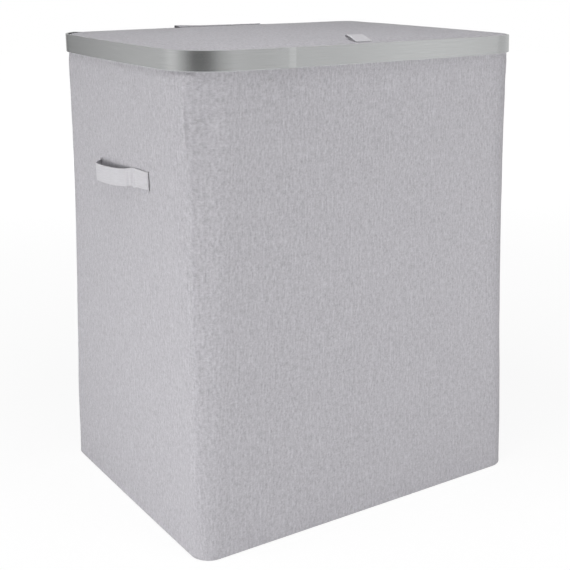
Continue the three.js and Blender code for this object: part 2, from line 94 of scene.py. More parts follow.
class HamperRim(bpy.types.PropertyGroup):
    """Sizes of the rim and its band"""

    width: bpy.props.FloatProperty(
        name="Width", description="Rim's width where its sides meet its corners",
        default=0.504, unit="LENGTH")
    depth: bpy.props.FloatProperty(
        name="Depth", description="Rim's depth where its front meets its corners",
        default=0.379, unit="LENGTH")
    corner: bpy.props.FloatProperty(
        name="Corner radius", description="Radius of the rim's corners", default=0.062,
        unit="LENGTH")
    front_bow: bpy.props.FloatProperty(
        name="Front bow", description="How far the front and the back bow out",
        default=0.006, unit="LENGTH")
    side_bow: bpy.props.FloatProperty(
        name="Side bow", description="How far the sides bow out", default=0.0025,
        unit="LENGTH")
    sheet: bpy.props.FloatProperty(
        name="Sheet", description="Thickness of the band's metal", default=0.001,
        unit="LENGTH")
    lip: bpy.props.FloatProperty(
        name="Lip", description="Depth of the band's turned-in lips", default=0.0028,
        unit="LENGTH")
    edge_round: bpy.props.FloatProperty(
        name="Edge round", description="Radius of the band's rolled edges",
        default=0.0004, unit="LENGTH")
    sag: bpy.props.FloatProperty(
        name="Sag", description="How much lower the band's top is at the back and right",
        default=0.0013, unit="LENGTH")
    lean: bpy.props.FloatProperty(
        name="Lean", description="How far the band's top leans in on the right",
        default=0.0012, unit="LENGTH")
    lap_end: bpy.props.FloatProperty(
        name="Lap end", description="Distance of each lap's end from the middle",
        default=0.116, unit="LENGTH")
    lap_length: bpy.props.FloatProperty(
        name="Lap length", description="How far one band piece lies over the other",
        default=0.02, unit="LENGTH")
    lap_spring: bpy.props.FloatProperty(
        name="Lap spring", description="How far the lap bulges before its end",
        default=0.0014, unit="LENGTH")
    lap_rise: bpy.props.FloatProperty(
        name="Lap rise", description="Length over which the metal lifts towards the lap",
        default=0.05, unit="LENGTH")


class HamperSleeve(bpy.types.PropertyGroup):
    """Sizes of the cloth sleeve"""

    foot_width: bpy.props.FloatProperty(
        name="Foot width", description="Width at the floor", default=0.506, unit="LENGTH")
    foot_depth: bpy.props.FloatProperty(
        name="Foot depth", description="Depth at the floor", default=0.391, unit="LENGTH")
    foot_corner: bpy.props.FloatProperty(
        name="Foot corner", description="Corner radius at the floor", default=0.026,
        unit="LENGTH")
    foot_bow: bpy.props.FloatProperty(
        name="Foot bow", description="How far the foot's sides bow out",
        default=0.0005, unit="LENGTH")
    foot_edge: bpy.props.FloatProperty(
        name="Foot edge", description="Rounding where the wall meets the floor",
        default=0.0025, unit="LENGTH")
    cloth: bpy.props.FloatProperty(
        name="Cloth", description="Thickness of the cloth", default=0.0012, unit="LENGTH")
    waist: bpy.props.FloatProperty(
        name="Waist", description="How far the walls draw in half way up",
        default=0.002, unit="LENGTH")
    pull: bpy.props.FloatProperty(
        name="Pull", description="How far the walls draw in just under the band",
        default=0.0017, unit="LENGTH")
    grid: bpy.props.FloatProperty(
        name="Grid", description="Spacing of the cloth's mesh", default=0.0055,
        unit="LENGTH")
    ridge: bpy.props.FloatProperty(
        name="Corner ridge", description="How far the cloth stands out along a corner",
        default=0.006, unit="LENGTH")
    ridge_reach: bpy.props.FloatProperty(
        name="Ridge reach", description="How far round a corner its ridge fades out",
        default=0.013, unit="LENGTH")
    spread: bpy.props.FloatProperty(
        name="Spread", description="How far the right front corner spreads at the floor",
        default=0.0014, unit="LENGTH")
    hollow: bpy.props.FloatProperty(
        name="Corner hollow", description="How far the cloth sinks beside a corner",
        default=0.0034, unit="LENGTH")
    crease: bpy.props.FloatProperty(
        name="Crease", description="Height of the faint creases", default=0.0007,
        unit="LENGTH")


class HamperLid(bpy.types.PropertyGroup):
    """Sizes of the lid, its hinge flap and its pull tab"""

    gap: bpy.props.FloatProperty(
        name="Gap", description="Gap between the lid and the band's lip",
        default=0.0016, unit="LENGTH")
    crown: bpy.props.FloatProperty(
        name="Crown", description="Rise of the lid's middle over its edge",
        default=0.0025, unit="LENGTH")
    loft: bpy.props.FloatProperty(
        name="Loft", description="How far the cloth stands off the lid's board",
        default=0.0012, unit="LENGTH")
    edge_round: bpy.props.FloatProperty(
        name="Edge round", description="Rounding of the lid's edge", default=0.0016,
        unit="LENGTH")
    cloth: bpy.props.FloatProperty(
        name="Cloth", description="Thickness of the lid's cloth", default=0.0011,
        unit="LENGTH")
    flap_cloth: bpy.props.FloatProperty(
        name="Flap", description="Thickness of the hinge flap", default=0.0012,
        unit="LENGTH")
    tab_width: bpy.props.FloatProperty(
        name="Tab width", description="Width of the pull tab's ribbon", default=0.0235,
        unit="LENGTH")
    flap_width: bpy.props.FloatProperty(
        name="Flap width", description="Width of the hinge flap", default=0.117,
        unit="LENGTH")
    flap_middle: bpy.props.FloatProperty(
        name="Flap middle", description="Where the hinge flap's middle is across the width",
        default=-0.0055, unit="LENGTH")
    flap_drop: bpy.props.FloatProperty(
        name="Flap drop", description="How much lower the flap's right end is than its left",
        default=0.0013, unit="LENGTH")


class HamperRibbons(bpy.types.PropertyGroup):
    """Sizes of the side handles and of the webbing grips"""

    thickness: bpy.props.FloatProperty(
        name="Ribbon", description="Thickness of the handles' ribbon", default=0.0013,
        unit="LENGTH")
    slit: bpy.props.FloatProperty(
        name="Slit", description="Width of the slits that the handles pass through",
        default=0.003, unit="LENGTH")
    webbing: bpy.props.FloatProperty(
        name="Webbing", description="Width of the bins' webbing", default=0.018,
        unit="LENGTH")
    stitch: bpy.props.FloatProperty(
        name="Stitch", description="Length of one stitch", default=0.0026, unit="LENGTH")


class HamperColours(bpy.types.PropertyGroup):
    """Colours of the finishes"""

    cloth: bpy.props.FloatVectorProperty(
        name="Cloth", description="Ground of the heathered cloth", subtype="COLOR",
        default=(0.478, 0.467, 0.497))
    cloth_thread: bpy.props.FloatVectorProperty(
        name="Light thread", description="Light slubs of the heathered cloth",
        subtype="COLOR", default=(0.62, 0.61, 0.64))
    ribbon: bpy.props.FloatVectorProperty(
        name="Ribbon", description="Handles and pull tab", subtype="COLOR",
        default=(0.64, 0.63, 0.66))
    lining: bpy.props.FloatVectorProperty(
        name="Lining", description="Bins and lid lining", subtype="COLOR",
        default=(0.60, 0.59, 0.61))
    aluminium: bpy.props.FloatVectorProperty(
        name="Aluminium", description="Rim band", subtype="COLOR",
        default=(0.62, 0.63, 0.63))
    board: bpy.props.FloatVectorProperty(
        name="Board", description="Hardboard", subtype="COLOR",
        default=(0.33, 0.27, 0.22))
    plastic: bpy.props.FloatVectorProperty(
        name="Plastic", description="Rim frame and sockets", subtype="COLOR",
        default=(0.075, 0.075, 0.08))
    steel: bpy.props.FloatVectorProperty(
        name="Post", description="Powder coat of the posts", subtype="COLOR",
        default=(0.28, 0.29, 0.30))


class HamperStudio(bpy.types.PropertyGroup):
    """Camera and lamps"""

    lens: bpy.props.FloatProperty(
        name="Lens", description="Focal length in millimetres", default=66.909)
    place: bpy.props.FloatVectorProperty(
        name="Camera", description="Where the camera stands", subtype="TRANSLATION",
        default=(-0.7854, -1.1930, 0.7068))
    ambient: bpy.props.FloatProperty(
        name="Ambient", description="Strength of the room's own light", default=0.04)
    surround: bpy.props.FloatProperty(
        name="Surround", description="Radius of the ring of cards that the metal mirrors",
        default=1.6, unit="LENGTH")
    floor_glow: bpy.props.FloatProperty(
        name="Floor glow", description="How bright the floor is before any lamp",
        default=0.90)


GROUPS = {
    "hamper_rim": HamperRim,
    "hamper_sleeve": HamperSleeve,
    "hamper_lid": HamperLid,
    "hamper_ribbons": HamperRibbons,
    "hamper_colours": HamperColours,
    "hamper_studio": HamperStudio,
}


def sizes(context, name):
    return getattr(context.scene, "hamper_" + name)


# Plans

RUNS = 8
RIGHT, RIGHT_REAR, BACK, LEFT_REAR, LEFT, LEFT_FRONT, FRONT, RIGHT_FRONT = range(RUNS)
CORNERS = (RIGHT_REAR, LEFT_REAR, LEFT_FRONT, RIGHT_FRONT)

# Turns that lie closer together than this count as one
TURN_ROOM = 1e-6


class Plan:
    """A rounded rectangle whose sides bow out and run into its corners without a kink.

    A turn goes from 0 to 8 round it, anticlockwise from the right side's front end: the
    right side is from 0 to 1, the right rear corner from 1 to 2, the back from 2 to 3,
    and so on to the right front corner from 7 to 8."""

    def __init__(self, width, depth, corner, front_bow, side_bow):
        self.sizes = (width, depth, corner, front_bow, side_bow)
        x = width / 2 - corner
        y = depth / 2 - corner
        front = (x ** 2 + front_bow ** 2 + 2 * front_bow * corner) / (2 * front_bow)
        side = (y ** 2 + side_bow ** 2 + 2 * side_bow * corner) / (2 * side_bow)
        front_centre = depth / 2 + front_bow - front
        side_centre = width / 2 + side_bow - side
        across = math.atan2(x, y - front_centre)
        along = math.atan2(y, x - side_centre)
        quarter = math.pi / 2
        self.arcs = []
        for half, sign in ((0, 1), (2 * quarter, -1)):
            self.arcs += [
                (sign * side_centre, 0, side, half - along, half + along),
                (sign * x, sign * y, corner, half + along, half + quarter - across),
                (0, sign * front_centre, front, half + quarter - across,
                 half + quarter + across),
                (-sign * x, sign * y, corner, half + quarter + across,
                 half + 2 * quarter - along),
            ]
        self.lengths = [radius * (to - start) for _, _, radius, start, to in self.arcs]

    def inset(self, by):
        width, depth, corner, front_bow, side_bow = self.sizes
        return Plan(width - 2 * by, depth - 2 * by, corner - by, front_bow, side_bow)

    def mixed(self, other, share):
        return Plan(*(a + (b - a) * share for a, b in zip(self.sizes, other.sizes)))

    def point(self, turn):
        """Place and outward normal at a turn, with the plan centred on the hamper"""
        run = int(turn // 1) % RUNS
        x, y, radius, start, to = self.arcs[run]
        angle = start + (to - start) * (turn - turn // 1)
        normal = Vector((math.cos(angle), math.sin(angle), 0))
        return Vector((x, y + CENTRE_Y, 0)) + normal * radius, normal

    def walked(self, turn):
        """Length of the walk round the plan up to a turn"""
        run = int(turn // 1)
        laps, rest = divmod(run, RUNS)
        done = laps * sum(self.lengths) + sum(self.lengths[:rest])
        return done + self.lengths[run % RUNS] * (turn - run)

    def turn_at_x(self, run, x):
        """Turn on the front or the back at one place across the width"""
        cx, _, radius, start, to = self.arcs[run]
        side = -1 if run == FRONT else 1
        angle = math.atan2(side * math.sqrt(radius ** 2 - (x - cx) ** 2), x - cx)
        return run + ((angle - start) % math.tau) / (to - start)

    def turn_at_y(self, run, y):
        """Turn on the right or the left side at one place along the depth"""
        cx, _, radius, start, to = self.arcs[run]
        side = -1 if run == LEFT else 1
        y -= CENTRE_Y
        angle = math.atan2(y, side * math.sqrt(radius ** 2 - y ** 2))
        share = (angle - start + math.pi) % math.tau - math.pi
        return run + share / (to - start)

    def turns(self, step, corner_step, start=0.0, to=float(RUNS), crowd=0.0, scales=None):
        """Turns from start to to, spaced by about one step. Those of a corner crowd
        towards its middle where crowd is above 0 and below 1. scales makes the steps of
        some runs longer or shorter."""
        scales = scales or {}
        found = []
        for run in range(int(start // 1), int(math.ceil(to))):
            corner = run % RUNS in CORNERS
            spacing = (corner_step if corner else step) * scales.get(run % RUNS, 1)
            count = 2 * max(1, round(self.lengths[run % RUNS] / spacing / 2))
            for i in range(count):
                away = 2 * i / count - 1
                if corner:
                    away *= 1 - crowd + crowd * away * away
                found.append(run + (away + 1) / 2)
        inner = [turn for turn in found if start + TURN_ROOM < turn < to - TURN_ROOM]
        return [start] + inner + [to]


def rim_plan(context):
    rim = sizes(context, "rim")
    return Plan(rim.width, rim.depth, rim.corner, rim.front_bow, rim.side_bow)


# Curves and steps

def smooth(low_end, high_end, value):
    """0 below low_end, 1 above high_end, and an even swing between them"""
    share = min(1.0, max(0.0, (value - low_end) / (high_end - low_end)))
    return share * share * (3 - 2 * share)


def bump(value, centre, width):
    """A rounded bump of height 1"""
    return math.exp(-((value - centre) / width) ** 2)


def wave_at(x, y, z):
    """Smooth noise, about from -1 to 1, at a place that is counted in waves"""
    return noise.noise(Vector((x, y, z)))


def even(start, to, count):
    return [start + (to - start) * i / count for i in range(count + 1)]


def walks(points):
    """How far each point is from the first, along the line through them"""
    found = [0.0]
    for a, b in zip(points, points[1:]):
        found.append(found[-1] + (b - a).length)
    return found


def spline(points, share):
    """Place on the smooth curve through the points"""
    spans = len(points) - 1
    i = min(int(share * spans), spans - 1)
    t = share * spans - i
    p0 = points[max(i - 1, 0)]
    p1, p2 = points[i], points[i + 1]
    p3 = points[min(i + 2, spans)]
    v0, v1 = (p2 - p0) * 0.5, (p3 - p1) * 0.5
    return ((2 * p1 - 2 * p2 + v0 + v1) * t ** 3
            + (-3 * p1 + 3 * p2 - 2 * v0 - v1) * t ** 2 + v0 * t + p1)


def line_through(points, count):
    """count + 1 places along the smooth curve through the points"""
    return [spline(points, share) for share in even(0, 1, count)]


# Meshes

# Name of the UV map, distance at which points are joined, and steps round an edge
CLOTH_UV = "cloth"
WELD = 1e-6
ROUND_STEPS = 4


def lay_grid(bm, us, vs, place, measure):
    """A grid of len(us) by len(vs) points, each put where place(u, v) says. Its UV map
    holds measure(u, v), the place on the cloth in metres."""
    layer = bm.loops.layers.uv.get(CLOTH_UV) or bm.loops.layers.uv.new(CLOTH_UV)
    nu, nv = len(us) - 1, len(vs) - 1
    made = bmesh.ops.create_grid(bm, x_segments=nu, y_segments=nv, size=0.5)["verts"]
    home = {}
    for vert in made:
        i, j = round((vert.co.x + 0.5) * nu), round((vert.co.y + 0.5) * nv)
        home[vert] = (us[i], vs[j])
    for face in {f for v in made for f in v.link_faces}:
        for loop in face.loops:
            loop[layer].uv = measure(*home[loop.vert])
    for vert, (u, v) in home.items():
        vert.co = place(u, v)


def from_above(place):
    """Measures a cloth by where its points lie seen from above"""
    return lambda u, v: tuple(place(u, v))[:2]


def bowl_levels(shares, steps, rows):
    """Levels of a cloth with a floor, a rounded edge round it and a wall"""
    return ([("floor", share) for share in shares]
            + [("edge", math.pi / 2 * i / steps) for i in range(steps)]
            + [("wall", z) for z in rows])


def foot_point(ring, normal, edge, base, level):
    """A point of such a cloth's floor or of the edge round it"""
    kind, value = level
    if kind == "floor":
        spot = CENTRE.lerp(ring, value)
        spot.z = base
        return spot
    spot = ring + normal * edge * math.sin(value)
    spot.z = base + edge * (1 - math.cos(value))
    return spot


def bowl_measure(plan, place):
    """Measures a wall by the walk round its plan and its height, and the rest from above"""
    def measure(turn, level):
        if level[0] == "wall":
            return plan.walked(turn), level[1]
        return tuple(place(turn, level))[:2]

    return measure


def mesh_of(bm, name):
    mesh = bpy.data.meshes.new(name)
    bm.to_mesh(mesh)
    bm.free()
    return mesh


def add_object(name, data):
    made = bpy.data.objects.new(name, data)
    bpy.context.scene.collection.objects.link(made)
    return made


def finish_bmesh(bm, name, material, fill=False, sharp=None):
    """Turns the bmesh into a piece whose faces point outwards"""
    bmesh.ops.remove_doubles(bm, verts=bm.verts, dist=WELD)
    bmesh.ops.dissolve_degenerate(bm, edges=bm.edges, dist=WELD)
    if fill:
        rims = [e for e in bm.edges if e.is_boundary]
        bmesh.ops.holes_fill(bm, edges=rims, sides=0)
    bmesh.ops.recalc_face_normals(bm, faces=bm.faces)
    for face in bm.faces:
        face.smooth = True
    mesh = mesh_of(bm, name)
    if sharp is not None:
        mesh.set_sharp_from_angle(angle=sharp)
    mesh.materials.append(material)
    return add_object(name, mesh)


def face_outwards(piece, inside):
    """Turns an open sheet's faces away from a point"""
    bm = bmesh.new()
    bm.from_mesh(piece.data)
    away = sum((f.calc_center_median() - inside).dot(f.normal) * f.calc_area()
               for f in bm.faces)
    if away < 0:
        bmesh.ops.reverse_faces(bm, faces=bm.faces)
    bm.to_mesh(piece.data)
    bm.free()


def thicken(piece, thickness, offset=-1.0):
    """Gives a sheet its thickness, inwards where the offset is -1"""
    solid = piece.modifiers.new("Thickness", "SOLIDIFY")
    solid.thickness = thickness
    solid.offset = offset
    solid.use_even_offset = False
    apply_modifiers(piece)


def apply_modifiers(piece):
    graph = bpy.context.evaluated_depsgraph_get()
    evaluated = piece.evaluated_get(graph)
    mesh = bpy.data.meshes.new_from_object(evaluated, depsgraph=graph)
    piece.modifiers.clear()
    old = piece.data
    piece.data = mesh
    mesh.name = piece.name
    bpy.data.meshes.remove(old)
    for polygon in mesh.polygons:
        polygon.use_smooth = True


def dress(piece, body, slot, *nodes):
    """Puts a piece on its body and hides the nodes that it stands for. The slot is not used."""
    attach(piece, body)
    if nodes:
        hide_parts(*nodes)


# Materials

class Surface:
    """A material in the making: a Principled shader and the nodes that feed it"""

    def __init__(self, name, colour, roughness, metallic=0.0, specular=0.3):
        self.material = bpy.data.materials.new(name)
        self.tree = cleared_tree(self.material)
        self.shader = self.node("ShaderNodeBsdfPrincipled")
        out = self.node("ShaderNodeOutputMaterial")
        self.tree.links.new(self.shader.outputs[0], out.inputs["Surface"])
        self.set("Base Color", (*colour, 1))
        self.set("Roughness", roughness)
        self.set("Metallic", metallic)
        self.set("Specular IOR Level", specular)

    def node(self, kind, **values):
        made = self.tree.nodes.new(kind)
        for key, value in values.items():
            setattr(made, key, value)
        return made

    def feed(self, target, value):
        """Links another node's output to an input, or gives the input a plain value"""
        if isinstance(value, bpy.types.NodeSocket):
            self.tree.links.new(value, target)
        else:
            target.default_value = value

    def set(self, socket, value):
        self.feed(self.shader.inputs[socket], value)

    def math(self, operation, a, b=0.0):
        made = self.node("ShaderNodeMath", operation=operation)
        self.feed(made.inputs[0], a)
        self.feed(made.inputs[1], b)
        return made.outputs[0]

    def cloth_place(self, width, length):
        """The piece's own UV map, counted in marks of this width and length"""
        uv = self.node("ShaderNodeUVMap", uv_map=CLOTH_UV).outputs[0]
        return self.scaled(uv, (1 / width, 1 / length, 1))

    def object_place(self, width, depth=None, height=None):
        """Object coordinates, counted in marks of this size each way"""
        place = self.node("ShaderNodeTexCoord").outputs["Object"]
        return self.scaled(place, (1 / width, 1 / (depth or width), 1 / (height or width)))

    def scaled(self, place, scale):
        mapping = self.node("ShaderNodeMapping")
        self.feed(mapping.inputs["Vector"], place)
        mapping.inputs["Scale"].default_value = scale
        return mapping.outputs[0]

    def noise(self, place, detail=2.0, roughness=0.5, distortion=0.0):
        made = self.node("ShaderNodeTexNoise")
        self.feed(made.inputs["Vector"], place)
        made.inputs["Scale"].default_value = 1.0
        made.inputs["Detail"].default_value = detail
        made.inputs["Roughness"].default_value = roughness
        made.inputs["Distortion"].default_value = distortion
        return made.outputs["Fac"]

    def ranged(self, value, from_low, from_high, to_low=0.0, to_high=1.0):
        made = self.node("ShaderNodeMapRange")
        self.feed(made.inputs["Value"], value)
        for name, number in zip(("From Min", "From Max", "To Min", "To Max"),
                                (from_low, from_high, to_low, to_high)):
            made.inputs[name].default_value = number
        return made.outputs[0]

    def mixed(self, share, a, b):
        made = self.node("ShaderNodeMix", data_type="RGBA")
        self.feed(made.inputs["Factor"], share)
        self.feed(made.inputs["A"], a if isinstance(a, bpy.types.NodeSocket) else (*a, 1))
        self.feed(made.inputs["B"], b if isinstance(b, bpy.types.NodeSocket) else (*b, 1))
        return made.outputs["Result"]

    def layered(self, ground, *layers):
        """A colour with tints over it. Each layer has a pattern, the two values of the
        pattern between which the tint comes in, its full strength and its colour."""
        colour = ground
        for pattern, start, full, strength, tint in layers:
            share = self.ranged(pattern, start, full, 0.0, strength)
            colour = self.mixed(share, colour, tint)
        return colour

    def weave(self, pitch):
        """Height of a plain weave: threads over and under each other"""
        split = self.node("ShaderNodeSeparateXYZ")
        self.feed(split.inputs[0], self.cloth_place(pitch / math.pi, pitch / math.pi))
        over = self.math("SINE", split.outputs["X"])
        across = self.math("SINE", split.outputs["Y"])
        return self.math("MULTIPLY", over, across)

    def relief(self, height, distance, strength=1.0, after=None):
        made = self.node("ShaderNodeBump")
        made.inputs["Strength"].default_value = strength
        made.inputs["Distance"].default_value = distance
        self.feed(made.inputs["Height"], height)
        if after is not None:
            self.feed(made.inputs["Normal"], after)
        return made.outputs[0]


def cleared_tree(owner):
    """The empty node tree of a material or a world"""
    owner.use_nodes = True
    owner.node_tree.nodes.clear()
    return owner.node_tree


def shaded(colour, by):
    return tuple(min(1.0, channel * by) for channel in colour)


def heathered_cloth(context):
    colours = sizes(context, "colours")
    cloth = Surface("heathered_cloth", colours.cloth, 0.92, specular=0.15)
    ground, thread = tuple(colours.cloth), tuple(colours.cloth_thread)
    warp = cloth.noise(cloth.cloth_place(2.5 * MM, 7 * MM), detail=2.5, roughness=0.6)
    long_slub = cloth.noise(cloth.cloth_place(2.6 * MM, 34 * MM), detail=1.5)
    weft = cloth.noise(cloth.cloth_place(9 * MM, 1.7 * MM), roughness=0.6)
    fleck = cloth.noise(cloth.cloth_place(2.3 * MM, 2.3 * MM), roughness=0.7)
    patch = cloth.noise(cloth.object_place(70 * MM, height=90 * MM))
    cloth.set("Base Color", cloth.layered(
        ground,
        (warp, 0.50, 0.72, 0.60, thread),
        (warp, 0.49, 0.28, 0.46, shaded(ground, 0.55)),
        (fleck, 0.52, 0.72, 0.50, shaded(thread, 1.06)),
        (fleck, 0.46, 0.28, 0.46, shaded(ground, 0.60)),
        (weft, 0.58, 0.80, 0.30, shaded(ground, 0.70)),
        (long_slub, 0.55, 0.75, 0.34, shaded(thread, 1.04)),
        (long_slub, 0.45, 0.25, 0.32, shaded(ground, 0.70)),
        (patch, 0.30, 0.70, 0.10, shaded(ground, 1.12))))
    cloth.set("Sheen Weight", 0.12)
    cloth.set("Sheen Roughness", 0.6)
    woven = cloth.relief(cloth.weave(0.8 * MM), 0.10 * MM, 0.5)
    cloth.set("Normal", cloth.relief(warp, 0.45 * MM, 0.55, after=woven))
    return cloth.material


def ribbon_cloth(context):
    tone = tuple(sizes(context, "colours").ribbon)
    ribbon = Surface("ribbon", tone, 0.75, specular=0.25)
    ribs = ribbon.noise(ribbon.cloth_place(14 * MM, 1.1 * MM), roughness=0.6)
    fleck = ribbon.noise(ribbon.cloth_place(1.2 * MM, 1.0 * MM), detail=1)
    ribbon.set("Base Color", ribbon.layered(
        shaded(tone, 0.9),
        (ribs, 0.35, 0.70, 0.5, shaded(tone, 1.1)),
        (fleck, 0.50, 0.75, 0.3, shaded(tone, 0.8))))
    ribbon.set("Sheen Weight", 0.15)
    woven = ribbon.relief(ribbon.weave(0.7 * MM), 0.12 * MM, 0.6)
    ribbon.set("Normal", ribbon.relief(ribs, 0.3 * MM, 0.5, after=woven))
    return ribbon.material


def lining_cloth(context):
    tone = tuple(sizes(context, "colours").lining)
    lining = Surface("lining_cloth", tone, 0.9, specular=0.15)
    warp = lining.noise(lining.cloth_place(1.0 * MM, 9 * MM), roughness=0.6)
    weft = lining.noise(lining.cloth_place(9 * MM, 1.0 * MM), roughness=0.6)
    patch = lining.noise(lining.object_place(50 * MM))
    lining.set("Base Color", lining.layered(
        shaded(tone, 0.9),
        (warp, 0.35, 0.65, 0.60, shaded(tone, 1.08)),
        (weft, 0.45, 0.75, 0.35, shaded(tone, 0.86)),
        (patch, 0.30, 0.70, 0.12, shaded(tone, 1.1))))
    lining.set("Normal", lining.relief(lining.weave(1.0 * MM), 0.15 * MM, 0.6))
    return lining.material


def brushed_aluminium(context):
    tone = tuple(sizes(context, "colours").aluminium)
    metal = Surface("brushed_aluminium", tone, 0.2, metallic=1.0)
    hair = metal.noise(metal.cloth_place(40 * MM, 0.35 * MM), detail=3, roughness=0.65)
    broad = metal.noise(metal.cloth_place(90 * MM, 3 * MM))
    metal.set("Base Color", metal.layered(
        shaded(tone, 0.94), (hair, 0.3, 0.7, 1.0, shaded(tone, 1.06))))
    metal.set("Roughness", metal.ranged(broad, 0.3, 0.7, 0.17, 0.24))
    metal.set("Normal", metal.relief(hair, 0.03 * MM, 0.35))
    return metal.material


def hardboard(context):
    tone = tuple(sizes(context, "colours").board)
    board = Surface("hardboard", tone, 0.85, specular=0.2)
    fibre = board.noise(board.object_place(4 * MM, 1.5 * MM, 2 * MM), detail=4,
                        roughness=0.7, distortion=1.2)
    stain = board.noise(board.object_place(50 * MM), detail=3)
    board.set("Base Color", board.layered(
        shaded(tone, 0.78),
        (fibre, 0.30, 0.70, 1.00, shaded(tone, 1.2)),
        (stain, 0.35, 0.70, 0.35, shaded(tone, 0.9))))
    board.set("Normal", board.relief(fibre, 0.2 * MM, 0.5))
    return board.material


def moulded_plastic(context):
    tone = tuple(sizes(context, "colours").plastic)
    plastic = Surface("moulded_plastic", tone, 0.5, specular=0.45)
    grain = plastic.noise(plastic.object_place(0.9 * MM))
    haze = plastic.noise(plastic.object_place(30 * MM), detail=3)
    plastic.set("Base Color", plastic.layered(
        shaded(tone, 0.88), (haze, 0.3, 0.7, 1.0, shaded(tone, 1.15))))
    plastic.set("Roughness", plastic.ranged(haze, 0.3, 0.7, 0.44, 0.58))
    plastic.set("Normal", plastic.relief(grain, 0.08 * MM, 0.5))
    return plastic.material


def coated_steel(context):
    tone = tuple(sizes(context, "colours").steel)
    steel = Surface("coated_steel", tone, 0.42, specular=0.5)
    peel = steel.noise(steel.object_place(1.6 * MM))
    wear = steel.noise(steel.object_place(10 * MM, height=40 * MM), detail=4, roughness=0.7)
    steel.set("Base Color", steel.layered(
        tone, (wear, 0.4, 0.75, 1.0, shaded(tone, 1.18))))
    steel.set("Roughness", steel.ranged(wear, 0.3, 0.7, 0.38, 0.5))
    steel.set("Normal", steel.relief(peel, 0.06 * MM, 0.5))
    return steel.material


FINISHES = {}


def finish_of(context, make):
    """One material for each finish, made the first time that it is asked for"""
    if make.__name__ not in FINISHES:
        FINISHES[make.__name__] = make(context)
    return FINISHES[make.__name__]


# Stitches

# Width and sides of the thread, and the gap between stitches as a share of a stitch
THREAD = 0.45 * MM
THREAD_SIDES = 6
STITCH_GAP = 0.5
STITCH_SHAPE = (
    # place along the stitch as a share of it, and radius as a share of the thread's width
    (-0.5, 0.05), (-0.3, 0.5), (0.3, 0.5), (0.5, 0.05),
)


def add_stitches(bm, points, stitch):
    """A level row of stitches along a line of points on an upright cloth: one thread
    that is thin from each stitch to the next"""
    lengths = walks(points)
    count = int(lengths[-1] / (stitch * (1 + STITCH_GAP)))
    above = Vector((0, 0, 1))
    rings = []
    i = 1
    for n in range(count):
        for along, swell in STITCH_SHAPE:
            length = (n + 0.5) * lengths[-1] / count + along * stitch
            while lengths[i] < length:
                i += 1
            share = (length - lengths[i - 1]) / (lengths[i] - lengths[i - 1])
            out = (points[i] - points[i - 1]).normalized().cross(above)
            rings.append((points[i - 1].lerp(points[i], share), out, swell * THREAD))

    def place(n, k):
        middle, out, radius = rings[n]
        angle = math.tau * k / THREAD_SIDES
        return middle + (above * math.cos(angle) + out * math.sin(angle)) * radius

    lay_grid(bm, range(len(rings)), range(THREAD_SIDES + 1), place, lambda n, k: (0, 0))


# Ribbons and webbing

# Section of a woven strip: its groove as a share of its thickness, its hems, and where
# its face is level and how far its middle rises, as shares of its half and its groove
STRIP_EDGE_STEPS = 3
STRIP_GROOVE = 0.14
HANDLE_HEM = 2.2 * MM
WEBBING_HEM = 2.5 * MM
HEM_SHAPE = (
    # place in from the edge in hems, and depth as a share of the groove's
    (0.6, 0.4), (1.0, 1.0), (1.4, 0.2),
)
STRIP_SHOULDER = 0.4
STRIP_MIDDLE_RISE = -0.3


def strip_section(width, thickness, hem):
    """Outline of a woven strip: round edges and a shallow groove inside each hem"""
    half, up = width / 2, thickness / 2
    groove = thickness * STRIP_GROOVE
    right = [(half - hem * share, depth) for share, depth in HEM_SHAPE]
    right.append((half * STRIP_SHOULDER, 0.0))
    left = [(-across, depth) for across, depth in reversed(right)]
    outline = []
    for side in (1, -1):
        for step in range(STRIP_EDGE_STEPS + 1):
            turn = math.pi * (step / STRIP_EDGE_STEPS - 0.5)
            outline.append((side * (half - up + up * math.cos(turn)),
                            side * up * math.sin(turn)))
        for across, depth in right + [(0, STRIP_MIDDLE_RISE)] + left:
            outline.append((side * across, side * (up - groove * depth)))
    return outline


def add_strip(bm, path, across, width, thickness, hem=HANDLE_HEM, shape=None):
    """A woven strip along a path. across(i) is the unit vector along its width, and
    shape(place, i, offset) may move each of its points."""
    outline = strip_section(width, thickness, hem)
    closed = outline + outline[:1]
    walked = walks(path)
    last = len(path) - 1

    def place(i, k):
        along = (path[min(i + 1, last)] - path[max(i - 1, 0)]).normalized()
        side = across(i)
        out = side.cross(along).normalized()
        offset, up = closed[k]
        spot = path[i] + side * offset + out * up
        return shape(spot, i, offset) if shape else spot

    lay_grid(bm, range(len(path)), range(len(closed)), place,
             lambda i, k: (walked[i], closed[k][0]))


# Sleeve

# Faint creases of the front
FACE_DEPTH = 30 * MM
FACE_CREASE_START, FACE_CREASE_SPAN = 0.12, 0.76
FACE_CREASES = (
    # x and z of both ends and half width in metres, height as a share of a crease's
    (-0.232, 0.560, -0.190, 0.500, 0.006, -0.7),
    (-0.224, 0.575, -0.160, 0.500, 0.008, 0.5),
    (-0.205, 0.545, -0.120, 0.440, 0.009, -0.6),
    (-0.180, 0.540, -0.090, 0.420, 0.010, 0.4),
    (-0.215, 0.420, -0.196, 0.300, 0.008, 0.6),
    (-0.205, 0.330, -0.178, 0.250, 0.006, -0.7),
    (0.030, 0.300, 0.090, 0.335, 0.014, 0.8),
    (0.130, 0.260, 0.200, 0.090, 0.016, -1.0),
    (0.190, 0.330, 0.230, 0.170, 0.010, 0.7),
)


